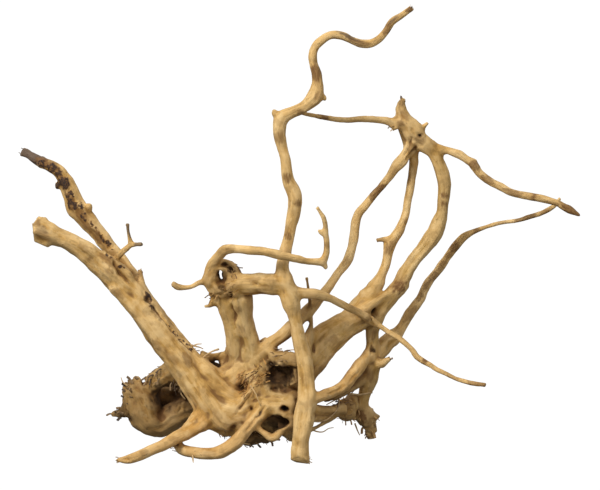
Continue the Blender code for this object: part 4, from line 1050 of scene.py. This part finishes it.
def hollowness(points, out, ends, rounds):
    """How deep each vertex lies below its surroundings, in millimetres."""
    return np.einsum("ij,ij->i", softened(points, ends, rounds) - points, out)


def keep_grain(mesh, points):
    """Stores the two nearest limbs' grain at each face's corners, and how much of the second shows.

    A face keeps to one pair of limbs, so no face runs from one limb's axes to another's.
    """
    corners = np.empty(len(mesh.loops), np.int64)
    mesh.loops.foreach_get("vertex_index", corners)
    face_of = np.repeat(np.arange(len(mesh.polygons)), [len(face.vertices) for face in mesh.polygons])
    middles = np.empty(3 * len(mesh.polygons))
    mesh.polygons.foreach_get("center", middles)
    which, _ = two_nearest(middles.reshape(-1, 3) / MM)
    first, second = which[0][face_of], which[1][face_of]
    corner_points = points[corners]
    own_gap = np.empty((2, len(corners)))
    for row, owners in enumerate((first, second)):
        for number in np.unique(owners):
            here = np.flatnonzero(owners == number)
            own_gap[row, here] = gaps(corner_points[here], limbs[number])[0]
        grain = own_axes(corner_points, owners) + owners[:, None] * GRAIN_OFFSET
        keep(mesh, "grain_first" if row == 0 else "grain_second", grain, "CORNER")
    nearer = np.clip((own_gap[1] - own_gap[0]) / BLEND, -1, 1)
    keep(mesh, "second_share", 0.5 - 0.5 * np.sign(nearer) * smooth_step(np.abs(nearer)), "CORNER")


skin = coordinates(wood.data)
out = normals(wood.data)
ends = edge_ends(wood.data)
views = as_seen(skin)
nearest, gap = two_nearest(skin)
keep_grain(wood.data, skin)
keep(wood.data, "stain_and_shadow", spread(STAINS_AND_SHADOW, skin, views, nearest[0]))
keep(wood.data, "bark", bark_at(skin, views, nearest[0]))
keep(wood.data, "weathered", spread(WEATHERED, skin, views, nearest[0]))
tones = np.array([LIMB_TONES.get(name, (0.0, 0.0)) for name in names])
share = second_share(gap)[:, None]
tone = tones[nearest[0]] * (1 - share) + tones[nearest[1]] * share
tone = softened(tone, ends, TONE_ROUNDS)
keep(wood.data, "warmth", tone[:, 0])
keep(wood.data, "darkness", tone[:, 1])
keep(wood.data, "rough", roughness_at(skin))
# Rot and painted shade in the hollows, behind the limbs and between them
rot = np.zeros(len(skin))
for across, seen, depth, radius, strength in ROT_AND_SHADE_SPOTS:
    away = np.linalg.norm(skin - placed([(across, seen, depth)]), axis=1) / radius
    away += ROT_AND_SHADE_RAGGED[1] * noise(skin / ROT_AND_SHADE_RAGGED[0], ROT_AND_SHADE_RAGGED[2])
    rot = np.maximum(rot, strength * smooth_step(ROT_AND_SHADE_EDGE[0] - ROT_AND_SHADE_EDGE[1] * away))
keep(wood.data, "rot", rot)
# Painted shade in the cracks, darker the deeper a crack is cut
crack_shade = np.zeros(len(skin))
for near, away, taper, width, depth in cracks_near(skin):
    darkness = taper * np.clip((depth - CRACK_DARK[0]) / CRACK_DARK[1], 0, 1)
    fade = np.exp(-(away / (CRACK_DARK_WIDTH * width * taper)) ** 2)
    crack_shade[near] = np.maximum(crack_shade[near], darkness * fade)
keep(wood.data, "crack_shade", crack_shade)
# How deep each point lies below its surroundings: the finish paints shade into the grooves and wears the
# ridges pale
groove = sum(hollowness(skin, out, ends, rounds) * share for rounds, share in GROOVES)
keep(wood.data, "groove", softened(groove, ends, GROOVE_ROUNDS) * GROOVE_GAIN)
# How much the wood hides each point's outlook, which the finish turns into painted shade
keep(wood.data, "shelter", softened(shelter(wood.data), ends, SHELTER_ROUNDS))


def node(tree, kind, **settings):
    made = tree.nodes.new(kind)
    for name, value in settings.items():
        setattr(made, name, value)
    return made


def fed(tree, target, **inputs):
    """Sets or links a node's inputs, whose names are written with _ for a space."""
    for name, value in inputs.items():
        socket = target.inputs[int(name[1:]) if name[1:].isdigit() else name.replace("_", " ")]
        if isinstance(value, bpy.types.NodeSocket):
            tree.links.new(value, socket)
        else:
            socket.default_value = value
    return target


def attribute(tree, name, output="Fac"):
    return node(tree, "ShaderNodeAttribute", attribute_name=name).outputs[output]


def noise_field(tree, where, scale, detail, roughness=0.55):
    field = node(tree, "ShaderNodeTexNoise")
    fed(tree, field, Vector=where, Scale=scale, Detail=detail, Roughness=roughness)
    return field.outputs["Fac"]


def sums(tree, operation, first, second, clamp=False):
    working = node(tree, "ShaderNodeMath", operation=operation, use_clamp=clamp)
    return fed(tree, working, _0=first, _1=second).outputs[0]


def ranged(tree, value, low, high, to_low=0.0, to_high=1.0):
    """Maps a value's range onto another, with soft ends and nothing outside it."""
    mapped = node(tree, "ShaderNodeMapRange", interpolation_type="SMOOTHSTEP")
    fed(tree, mapped, Value=value, From_Min=low, From_Max=high, To_Min=to_low, To_Max=to_high)
    return mapped.outputs[0]


def blended(tree, share, first, second, mode="MIX"):
    mixing = node(tree, "ShaderNodeMix", data_type="RGBA", blend_type=mode)
    return fed(tree, mixing, _0=share, _6=first, _7=second).outputs[2]


def new_group(name, inputs, outputs):
    """A shader node group with these sockets, given as names and kinds, and its two ends."""
    group = bpy.data.node_groups.new(name, "ShaderNodeTree")
    for way, sockets in (("INPUT", inputs), ("OUTPUT", outputs)):
        for label, kind in sockets.items():
            group.interface.new_socket(label, in_out=way, socket_type="NodeSocket" + kind)
    return group, node(group, "NodeGroupInput").outputs, node(group, "NodeGroupOutput")


def grain_group():
    """Streaks, fibres and pores that are drawn out along the grain of both nearest limbs."""
    inputs = {"First": "Vector", "Second": "Vector", "Share": "Float"}
    group, given, result = new_group("wood_grain", inputs, dict.fromkeys(GRAIN, "Float"))
    for name, (stretch, detail) in GRAIN.items():
        pair = []
        for source in ("First", "Second"):
            drawn = node(group, "ShaderNodeVectorMath", operation="MULTIPLY")
            fed(group, drawn, _0=given[source], _1=stretch)
            pair.append(noise_field(group, drawn.outputs[0], 1.0, detail))
        mixing = node(group, "ShaderNodeMix", data_type="FLOAT")
        fed(group, mixing, _0=given["Share"], _2=pair[0], _3=pair[1])
        group.links.new(mixing.outputs[0], result.inputs[name])
    return group


# Layers of the grain: swings in a millimetre across and along it, and detail
GRAIN = {
    "Streaks": ((0.2, 0.2, 0.016), 3),
    "Fibres": ((0.95, 0.95, 0.05), 3),
    "Pores": ((1.1, 1.1, 0.16), 1),
}
# Cloud, mottle, grit and patches, which know no grain: swings in a metre, and detail
FIELDS = ((28.0, 4.0), (130.0, 3.0), (900.0, 2.0), (75.0, 5.0))
PALE = (0.80, 0.56, 0.26, 1)
HONEY = (0.56, 0.325, 0.092, 1)
BROWN = (0.26, 0.135, 0.035, 1)
DARK = (0.20, 0.11, 0.035, 1)
ORANGE = (0.62, 0.32, 0.08, 1)
OLIVE = (0.42, 0.295, 0.095, 1)
# The colour of stains and inner bark, and of the painted shade in the grooves and under the right foot
STAIN_AND_SHADE = (0.185, 0.088, 0.026, 1)
BARK = (0.032, 0.019, 0.015, 1)
GREY = (0.135, 0.09, 0.06, 1)
# The colour of rot, and of the painted shade in hollows, cracks and sheltered places
ROT_AND_SHADE = (0.035, 0.017, 0.006, 1)
BUMP_DEPTH = 0.0006  # m

finish = bpy.data.materials.new("driftwood_bare")
finish.use_nodes = True
tree = finish.node_tree
shader = tree.nodes["Principled BSDF"]
grain_node = node(tree, "ShaderNodeGroup", node_tree=grain_group())
fed(tree, grain_node, First=attribute(tree, "grain_first", "Vector"),
    Second=attribute(tree, "grain_second", "Vector"), Share=attribute(tree, "second_share"))
streaks, fibres, pores = [grain_node.outputs[name] for name in GRAIN]
where = node(tree, "ShaderNodeTexCoord").outputs["Object"]
cloud, mottle, grit, patches = [noise_field(tree, where, *field) for field in FIELDS]
kept = ("shelter", "groove", "warmth", "darkness", "stain_and_shadow", "rot", "bark")
hidden, groove, warmth, darkness, stain_and_shadow, rot, bark = [attribute(tree, name) for name in kept]

# Streaks and fibres take the bare wood from brown through honey to pale straw
tone = sums(tree, "MULTIPLY_ADD", cloud, 0.9)
tone.node.inputs[2].default_value = -0.4
tone = sums(tree, "ADD", tone, sums(tree, "MULTIPLY", streaks, 0.75))
tone = sums(tree, "ADD", tone, sums(tree, "MULTIPLY", fibres, 0.3))
ramp = node(tree, "ShaderNodeValToRGB")
tree.links.new(tone, ramp.inputs[0])
stops = ramp.color_ramp.elements
stops[0].position, stops[0].color = 0.34, BROWN
stops[1].position, stops[1].color = 0.86, PALE
middle = stops.new(0.52)
middle.color = HONEY
colour = ramp.outputs[0]

# Each layer over the bare wood: how much of it shows, its colour, and the way that it is mixed in
gnarls = sums(tree, "MULTIPLY", attribute(tree, "rough"), ranged(tree, mottle, 0.35, 0.6, 0.2, 0.65))
dark_limbs = sums(tree, "MULTIPLY", darkness, ranged(tree, streaks, 0.25, 0.7, 0.65, 1.0))
stains_and_shadow = sums(tree, "MULTIPLY", stain_and_shadow, ranged(tree, fibres, 0.3, 0.6, 0.6, 1.0))
rot_and_shade_mask = sums(tree, "MULTIPLY", rot, ranged(tree, mottle, 0.3, 0.7, 1.0, 0.8))
bark_depth = ranged(tree, bark, 0.4, 0.9)
outer_bark = sums(tree, "MULTIPLY", bark_depth, ranged(tree, grit, 0.35, 0.6, 0.55, 1.0))
layers = [
    # The limbs' own warmth
    (ranged(tree, warmth, 0.0, 1.0, 0.0, 0.6), ORANGE),
    (ranged(tree, warmth, 0.0, -1.0, 0.0, 0.55), OLIVE),
    # Brown pores, specks and gnarls, and ridges worn pale
    (ranged(tree, pores, 0.62, 0.75, 0.0, 0.25), BROWN),
    (ranged(tree, mottle, 0.56, 0.72, 0.0, 0.16), BROWN),
    (gnarls, BROWN),
    (ranged(tree, groove, -0.1, -0.8, 0.0, 0.35), PALE),
    (ranged(tree, patches, 0.52, 0.60, 0.0, 0.28), BROWN),
    (ranged(tree, patches, 0.45, 0.38, 0.0, 0.45), PALE),
    # Darker limbs, grey tips, stains with a painted shadow among them, and painted shade in the grooves
    (dark_limbs, DARK),
    (attribute(tree, "weathered"), GREY),
    (stains_and_shadow, STAIN_AND_SHADE),
    (ranged(tree, groove, 0.1, 0.9, 0.0, 0.85), STAIN_AND_SHADE),
    # Painted shade where the wood hides its own outlook, rot and painted shade in the hollows, and
    # painted shade in the cracks
    (ranged(tree, hidden, 0.15, 0.7, 0.0, 0.75), BROWN, "MULTIPLY"),
    (ranged(tree, hidden, 0.5, 0.95, 0.0, 0.95), ROT_AND_SHADE),
    (rot_and_shade_mask, ROT_AND_SHADE),
    (ranged(tree, attribute(tree, "crack_shade"), 0.15, 0.8, 0.0, 0.9), ROT_AND_SHADE),
    # Scraps of bark, inner and outer
    (ranged(tree, bark, 0.0, 0.5, 0.0, 0.85), STAIN_AND_SHADE),
    (outer_bark, BARK),
]
for mask, paint, *mode in layers:
    colour = blended(tree, mask, colour, paint, *mode)
dull = ranged(tree, sums(tree, "MAXIMUM", rot, hidden), 0.2, 0.9, 0.0, 0.3)
fed(tree, shader, Base_Color=colour, Specular_IOR_Level=0.25,
    Roughness=sums(tree, "ADD", ranged(tree, streaks, 0.3, 0.7, 0.78, 0.6), dull, clamp=True))
relief = sums(tree, "ADD", sums(tree, "MULTIPLY", fibres, 0.9), sums(tree, "MULTIPLY", grit, 0.08))
relief = sums(tree, "SUBTRACT", relief, ranged(tree, pores, 0.6, 0.72, 0.0, 0.6))
relief = sums(tree, "ADD", relief, sums(tree, "MULTIPLY", mottle, 0.6))
bump = fed(tree, node(tree, "ShaderNodeBump"), Strength=0.9, Distance=BUMP_DEPTH, Height=relief)
tree.links.new(bump.outputs[0], shader.inputs["Normal"])
wood.data.materials.clear()
wood.data.materials.append(finish)

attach(wood, "root")
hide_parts("driftwood")

# Rootlets and loose fibres. Hair-thin roots dried on between the stouter ones, and a few long
# fibres have come away from the wood and curl in the air.
ROOTLETS = [
    [(45, 54, -19, 1.1), (39, 48, -30, 0.9), (38, 40, -42, 0.85), (33, 32, -52, 0.8), (25, 26, -62, 0.8),
     (15, 25, -70, 0.75), (6, 28, -74, 0.6)],
    [(-50, 60, -38, 0.8), (-45, 53, -46, 0.7), (-41, 43, -48, 0.5), (-39, 39, -47, 0.35)],
    [(-122, 106, -10, 1.3), (-112, 101, -12, 1.2), (-105, 99, -14, 1.0), (-101, 98, -15, 0.7),
     (-97.5, 96.5, -17, 0.4)],
    [(-108, 99, -12, 0.8), (-104, 101, -15, 0.6), (-99, 101.5, -18, 0.35)],
    [(-107.5, -9, -64, 0.9), (-107, -13, -70, 0.7), (-106.5, -15.5, -78, 0.4)],
    [(2, 22, -66, 1.2), (12, 16, -58, 0.8), (22, 14, -52, 0.7), (29, 17.5, -46, 0.5),
     (33, 18, -44, 0.35)],
    [(6, 34, -70, 1.2), (16, 31, -60, 0.9), (26, 30, -50, 0.8), (34, 27, -42, 0.6)],
    [(-20, 90, -24, 0.9), (-12, 95, -26, 0.6), (-4, 96, -28, 0.4)],
    [(-126, 66, 8, 1.0), (-121, 58, 6, 0.8), (-120, 50, 4, 0.7), (-116, 45, 3, 0.6)],
    [(-116, 64, 5, 0.9), (-117, 56, 2, 0.7), (-113, 50, 0, 0.5)],
    [(55, 20, 12, 0.9), (58, 12, 15, 0.7), (60, 8, 16, 0.4)],
    [(72, 52, 4, 1.1), (60, 50, -4, 0.9), (47, 51, -14, 0.8), (36, 46, -28, 0.7), (26, 41, -40, 0.5)],
    [(-64, 4, -26, 0.8), (-58, 1.5, -30, 0.6), (-51, 1, -34, 0.4)],
    [(-174, 58, 12, 0.9), (-179, 62, 11, 0.6), (-181, 67, 12, 0.35)],
    [(-82, 96, -8, 1.0), (-88, 94, -12, 0.8), (-95, 90, -15, 0.6), (-100, 85, -18, 0.4)],
]
ROOTLET_TONES = ((0.55, 0.37, 0.17, 1), (0.13, 0.07, 0.03, 1))


def strand_group():
    """How dark a dry strand is, from 0 to 1: it differs from strand to strand and along each."""
    inputs, outputs = {"Place": "Vector", "Own": "Float"}, {"Darkness": "Float"}
    group, given, result = new_group("strand_tone", inputs, outputs)
    drift = sums(group, "MULTIPLY", noise_field(group, given["Place"], 240.0, 2.0), 0.6)
    share = sums(group, "ADD", drift, sums(group, "MULTIPLY", given["Own"], 0.6))
    group.links.new(ranged(group, share, 0.35, 0.85), result.inputs["Darkness"])
    return group


def strand_finish(name, light, dark):
    """A dry strand's finish between a light and a dark colour."""
    material = bpy.data.materials.new(name)
    material.use_nodes = True
    tree = material.node_tree
    tone = node(tree, "ShaderNodeGroup", node_tree=strand_tone)
    fed(tree, tone, Place=node(tree, "ShaderNodeTexCoord").outputs["Object"],
        Own=node(tree, "ShaderNodeNewGeometry").outputs["Random Per Island"])
    fed(tree, tree.nodes["Principled BSDF"], Roughness=0.7,
        Base_Color=blended(tree, tone.outputs["Darkness"], light, dark))
    return material


def rootlet(rows, number):
    """The skin of a rootlet, which may be thinner than a limb."""
    limb = spine(rows)
    reach = np.linspace(0, limb["length"][-1], len(rows))
    limb["half"] = np.interp(limb["length"], reach, [row[3] for row in rows]) - GIVEN_BACK
    return tube(limb, number)


def grounded(points):
    """The points with none below the ground."""
    return np.column_stack([points[:, :2], np.maximum(points[:, 2], 0)])


strand_tone = strand_group()
rootlet_points, rootlet_faces = joined([rootlet(rows, number) for number, rows in enumerate(ROOTLETS)])
rootlets = new_mesh_object("rootlets", grounded(rootlet_points), rootlet_faces)
rootlets.data.shade_smooth()
rootlets.data.materials.append(strand_finish("rootlet", *ROOTLET_TONES))
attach(rootlets, "root")
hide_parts("driftwood")

# Torn fibres. Where wood was wrenched apart, or rot has eaten the softer part, its fibres stand up
# as splinters and shreds that lean along the grain.

# Light and dark colour, then places in mm: across, seen, depth and radius, the way that the fibres
# point as seen (right, up and away), and their length, thickness and spacing
FRAYS = {
    "tuft": ((0.60, 0.32, 0.09, 1), (0.13, 0.06, 0.018, 1), [
        (-52, 64, -34, 12, (-0.6, -0.7, -0.1), 8, 0.8, 3.2),
        (-42, 70, -34, 9, (0.8, 0.4, -0.1), 7, 0.8, 3.4),
        (-40, 80, -30, 8, (0.7, -0.5, -0.1), 7, 0.8, 4.0),
    ]),
    "spikes": ((0.62, 0.36, 0.12, 1), (0.16, 0.08, 0.03, 1), [
        (70, 13, 17, 9, (0.2, -1.0, 0), 7, 1.9, 7.0), (78, 24, 16, 8, (0.9, -0.5, 0), 7, 1.6, 7.0),
        (70, 8, 18, 8, (0.15, -1.0, 0), 6, 1.3, 5.5), (52, 26, 0, 10, (0.3, -1.0, -0.2), 6, 0.9, 6.5),
        (48, 36, -14, 12, (-0.8, 0.2, -0.2), 8, 0.9, 4.5),
    ]),
    "head": ((0.48, 0.29, 0.10, 1), (0.13, 0.065, 0.022, 1), [
        (-62, 172, -34, 8, (0.3, -0.95, -0.1), 9, 0.8, 4.0),
        (-70, 180, -32, 7, (0.7, -0.6, -0.1), 8, 0.8, 4.6),
        (-66, 158, -38, 8, (-0.85, -0.5, -0.1), 11, 0.8, 4.4),
        (-86, 150, -30, 6, (-0.8, -0.6, -0.2), 6, 0.9, 4.5),
    ]),
    "log": ((0.30, 0.19, 0.09, 1), (0.05, 0.03, 0.018, 1), [
        (-174, 62, 14, 11, (-0.5, 0.8, -0.1), 6, 2.0, 7.5),
        (-186, 31, 22, 9, (-1.0, 0.1, -0.1), 6, 1.9, 6.5),
        (-118, 60, 4, 12, (-0.2, -1.0, -0.3), 9, 0.8, 4.5),
        (-148, 70, 12, 11, (-0.6, -0.6, -0.2), 8, 1.0, 4.5),
        (-176, 48, 14, 8, (-0.7, 0.6, -0.1), 5, 1.6, 8.0),
        (-281, 293, 33, 5, (-1.0, 0.3, 0), 4, 1.3, 4.0),
    ]),
    "underside": ((0.30, 0.17, 0.07, 1), (0.05, 0.03, 0.018, 1), [
        (-48, 6, -22, 16, (0.8, -0.5, -0.2), 5, 1.2, 6.5),
        (-24, 6, -26, 13, (0.8, -0.5, -0.1), 5, 1.2, 6.5),
        (-74, 10, -34, 9, (0.8, -0.6, -0.1), 5, 0.6, 5.5),
        (-100, -8, -60, 12, (0.9, -0.4, 0), 5, 0.5, 7.0),
        (-10, 12, -44, 9, (0.7, -0.7, -0.2), 5, 0.7, 5.0),
        (44, 50, -20, 14, (-0.9, -0.4, -0.1), 8, 0.8, 4.6),
    ]),
    "ends": ((0.50, 0.32, 0.13, 1), (0.14, 0.08, 0.035, 1), [
        (-126, -1, -46, 7, (-0.9, 0.3, 0), 8, 0.9, 3.2), (111, 436, 7, 3, (0.8, 0.6, 0), 3, 0.7, 2.6),
        (103, 348, 37, 4, (-0.2, 1.0, 0), 3, 1.2, 5.0), (92, 318, 34, 4, (-0.9, -0.4, -0.1), 4, 0.8, 3.6),
        (-183, -13, -80, 4, (-1.0, -0.1, 0), 4, 0.8, 3.2), (8, -18, -80, 7, (0.5, -0.8, 0), 4, 0.7, 3.6),
        (-102, 90, -6, 10, (0.8, -0.4, -0.2), 7, 0.8, 5.0),
        (-161, 173, -8, 4, (0.1, 1.0, 0), 4, 0.8, 3.4), (91, 88, 2, 4, (0.9, 0.5, 0), 4, 0.8, 3.2),
        (-22, 88, -34, 12, (0.9, 0.1, -0.2), 6, 0.8, 5.0),
    ]),
}
FRAY_SPREAD = 0.42  # how far a fibre strays from the way that its place gives
FRAY_LIFT = 0.25  # how far it leans out of the wood
FRAY_FLATNESS = 0.4  # a fibre's thickness to its width
FRAY_SHORTEST = 0.35  # of the length
FRAY_TIP = 0.12  # of the thickness
FRAY_POINTS = 6  # along a fibre
FRAY_SIDES = 5
FRAY_CURL = (0.16, 5.0, 0.07)  # lean and wave of a fibre as shares of its length, with the wave's rate
FRAY_MOST = 4e6  # to a square metre


def strand_nodes():
    """Scatters bent, pointed fibres over a patch of wood, along the way stored in the patch."""
    group = bpy.data.node_groups.new("torn_fibres", "GeometryNodeTree")
    sockets = {}
    for name, kind in (("Geometry", "Geometry"), ("Spacing", "Float"), ("Length", "Float"),
                       ("Thickness", "Float"), ("Seed", "Int"), ("Material", "Material")):
        socket = group.interface.new_socket(name, in_out="INPUT", socket_type="NodeSocket" + kind)
        sockets[name] = socket.identifier
    group.interface.new_socket("Geometry", in_out="OUTPUT", socket_type="NodeSocketGeometry")
    given = node(group, "NodeGroupInput").outputs
    scatter = node(group, "GeometryNodeDistributePointsOnFaces", distribute_method="POISSON")
    fed(group, scatter, Mesh=given["Geometry"], Distance_Min=given["Spacing"], Density_Max=FRAY_MOST,
        Seed=given["Seed"])
    line = node(group, "GeometryNodeCurvePrimitiveLine")
    fed(group, line, End=(0, 0, 1))
    dense = fed(group, node(group, "GeometryNodeResampleCurve"), Curve=line.outputs[0], Count=FRAY_POINTS)
    along = node(group, "GeometryNodeSplineParameter").outputs["Factor"]
    lean, rate, wave = FRAY_CURL
    bend = node(group, "ShaderNodeCombineXYZ")
    fed(group, bend, X=sums(group, "MULTIPLY", sums(group, "MULTIPLY", along, along), lean),
        Y=sums(group, "MULTIPLY", sums(group, "SINE", sums(group, "MULTIPLY", along, rate), 0.0), wave))
    bent = node(group, "GeometryNodeSetPosition")
    fed(group, bent, Geometry=dense.outputs[0], Offset=bend.outputs[0])
    radius = ranged(group, along, 0.3, 1.0, 1.0, FRAY_TIP)
    tapered = fed(group, node(group, "GeometryNodeSetCurveRadius"), Curve=bent.outputs[0], Radius=radius)
    outline = node(group, "GeometryNodeCurvePrimitiveCircle")
    relative = sums(group, "DIVIDE", given["Thickness"], given["Length"])
    fed(group, outline, Resolution=FRAY_SIDES, Radius=relative)
    flat = node(group, "GeometryNodeTransform")
    fed(group, flat, Geometry=outline.outputs[0], Scale=(1, FRAY_FLATNESS, 1))
    strand = fed(group, node(group, "GeometryNodeCurveToMesh"), Curve=tapered.outputs[0],
                 Profile_Curve=flat.outputs[0], Fill_Caps=True)
    way = node(group, "GeometryNodeInputNamedAttribute", data_type="FLOAT_VECTOR")
    fed(group, way, Name="way")
    stray = node(group, "FunctionNodeRandomValue", data_type="FLOAT_VECTOR")
    fed(group, stray, Min=(-FRAY_SPREAD,) * 3, Max=(FRAY_SPREAD,) * 3)
    aim = node(group, "ShaderNodeVectorMath", operation="ADD")
    fed(group, aim, _0=way.outputs[0], _1=stray.outputs[0])
    facing = node(group, "FunctionNodeAlignRotationToVector", axis="Z")
    fed(group, facing, Vector=aim.outputs[0])
    turn = node(group, "FunctionNodeRandomValue", data_type="FLOAT")
    turn.inputs[2].default_value, turn.inputs[3].default_value = 0.0, 2 * math.pi
    own_turn = node(group, "FunctionNodeAxisAngleToRotation")
    fed(group, own_turn, Axis=(0, 0, 1), Angle=turn.outputs[1])
    turned = node(group, "FunctionNodeRotateRotation", rotation_space="LOCAL")
    fed(group, turned, Rotation=facing.outputs[0], Rotate_By=own_turn.outputs[0])
    size = node(group, "FunctionNodeRandomValue", data_type="FLOAT")
    size.inputs[2].default_value, size.inputs[3].default_value = FRAY_SHORTEST, 1.0
    scale = sums(group, "MULTIPLY", size.outputs[1], given["Length"])
    strands = node(group, "GeometryNodeInstanceOnPoints")
    fed(group, strands, Points=scatter.outputs["Points"], Instance=strand.outputs[0],
        Rotation=turned.outputs[0], Scale=scale)
    real = fed(group, node(group, "GeometryNodeRealizeInstances"), Geometry=strands.outputs[0])
    coloured = fed(group, node(group, "GeometryNodeSetMaterial"), Geometry=real.outputs[0],
                   Material=given["Material"])
    group.links.new(coloured.outputs[0], node(group, "NodeGroupOutput").inputs[0])
    return group, sockets


def patch_of(centre, radius, way):
    """The wood's faces near a place, with the way that their fibres point, or None if none is near."""
    near = np.linalg.norm(skin - centre, axis=1) < radius
    faces = [tuple(face.vertices) for face in wood.data.polygons if near[face.vertices[0]]]
    if not faces:
        return None
    used = np.unique([corner for face in faces for corner in face])
    number = {corner: index for index, corner in enumerate(used)}
    faces = [tuple(number[corner] for corner in face) for face in faces]
    patch = new_mesh_object("patch", skin[used], faces)
    keep(patch.data, "way", way + FRAY_LIFT * out[used])
    return patch


group, sockets = strand_nodes()
seed = 0
for name, (light, dark, places) in FRAYS.items():
    material = strand_finish("fibre_" + name, light, dark)
    parts = []
    for across, seen, depth, radius, (right, upward, away), length, thickness, spacing in places:
        seed += 1
        centre = placed([(across, seen, depth)])[0]
        way = unit(np.array([right, away, upward], float))
        patch = patch_of(centre, radius, way)
        if patch is None:
            continue
        growing = patch.modifiers.new("fibres", "NODES")
        growing.node_group = group
        values = {"Spacing": spacing * MM, "Length": length * MM, "Thickness": thickness * MM,
                  "Seed": seed, "Material": material}
        for label, value in values.items():
            growing[sockets[label]] = value
        settled(patch)
        parts.append(patch)
    tufts = [(coordinates(part.data), [face.vertices for face in part.data.polygons]) for part in parts]
    points, faces = joined(tufts)
    for part in parts:
        bpy.data.meshes.remove(part.data)
    fibres = new_mesh_object("fibres_" + name, grounded(points), faces)
    fibres.data.materials.append(material)
    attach(fibres, "root")
    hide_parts("driftwood")

# The studio: a pale seamless sweep, broad soft lights from above on the left and in front, and a
# camera 12 degrees above the horizontal, far off with a long lens.
PHOTO_WIDTH = 600  # px
PHOTO_SCALE = 0.001  # metres of the root's width to a pixel of the photo
CAMERA_AWAY = 5.0  # m
SENSOR_WIDTH = 36.0  # mm
AIM = Vector((-0.0005, 0.0, 0.2049))  # m
FLOOR_SIZE = 12.0  # m
FLOOR_GLOW = 1.05
LIGHTS = {  # place in metres from the aim, side in metres, watts and colour
    "key": ((-1.6, -1.6, 2.2), 0.8, 79, (1.0, 0.98, 0.95)),
    "front": ((0.8, -3.0, 0.9), 2.0, 17, (1.0, 0.99, 0.97)),
    "back": ((1.2, 1.6, 1.8), 1.4, 8, (0.97, 0.98, 1.0)),
}
SKY_STRENGTH = (0.12, 0.55)  # from below and from above

floor_finish = bpy.data.materials.new("studio_floor")
floor_finish.use_nodes = True
tree = floor_finish.node_tree
fed(tree, tree.nodes["Principled BSDF"], Base_Color=(0, 0, 0, 1), Roughness=1, Specular_IOR_Level=0,
    Emission_Color=(1, 1, 1, 1), Emission_Strength=FLOOR_GLOW)
half_floor = FLOOR_SIZE / 2 / MM
corners = [(right * half_floor, back * half_floor, 0)
           for right, back in ((-1, -1), (1, -1), (1, 1), (-1, 1))]
floor = new_mesh_object("studio_floor", corners, [(0, 1, 2, 3)])
floor.data.materials.append(floor_finish)
floor.visible_diffuse = False
floor.visible_glossy = False

sky = bpy.data.worlds.new("studio")
sky.use_nodes = True
tree = sky.node_tree
direction = node(tree, "ShaderNodeSeparateXYZ")
fed(tree, direction, Vector=node(tree, "ShaderNodeTexCoord").outputs["Generated"])
fed(tree, tree.nodes["Background"], Color=(1, 1, 1, 1),
    Strength=ranged(tree, direction.outputs["Z"], -0.6, 0.6, *SKY_STRENGTH))
bpy.context.scene.world = sky

for name, (away, side, watts, colour) in LIGHTS.items():
    light = bpy.data.lights.new(name, "AREA")
    light.shape = "DISK"
    light.size = side
    light.energy = watts
    light.color = colour
    lamp = bpy.data.objects.new(name, light)
    lamp.location = AIM + Vector(away)
    lamp.rotation_euler = (-Vector(away)).to_track_quat("-Z", "Y").to_euler()
    bpy.context.scene.collection.objects.link(lamp)

lens = bpy.data.cameras.new("camera")
lens.sensor_width = SENSOR_WIDTH
lens.lens = SENSOR_WIDTH * CAMERA_AWAY / (PHOTO_WIDTH * PHOTO_SCALE)
lens.clip_end = 50
camera = bpy.data.objects.new("camera", lens)
backwards = Vector((0, -math.cos(VIEW_TILT), math.sin(VIEW_TILT)))
camera.location = AIM + backwards * CAMERA_AWAY
camera.rotation_euler = (-backwards).to_track_quat("-Z", "Y").to_euler()
bpy.context.scene.collection.objects.link(camera)
bpy.context.scene.camera = camera
bpy.context.scene.view_settings.view_transform = "Standard"
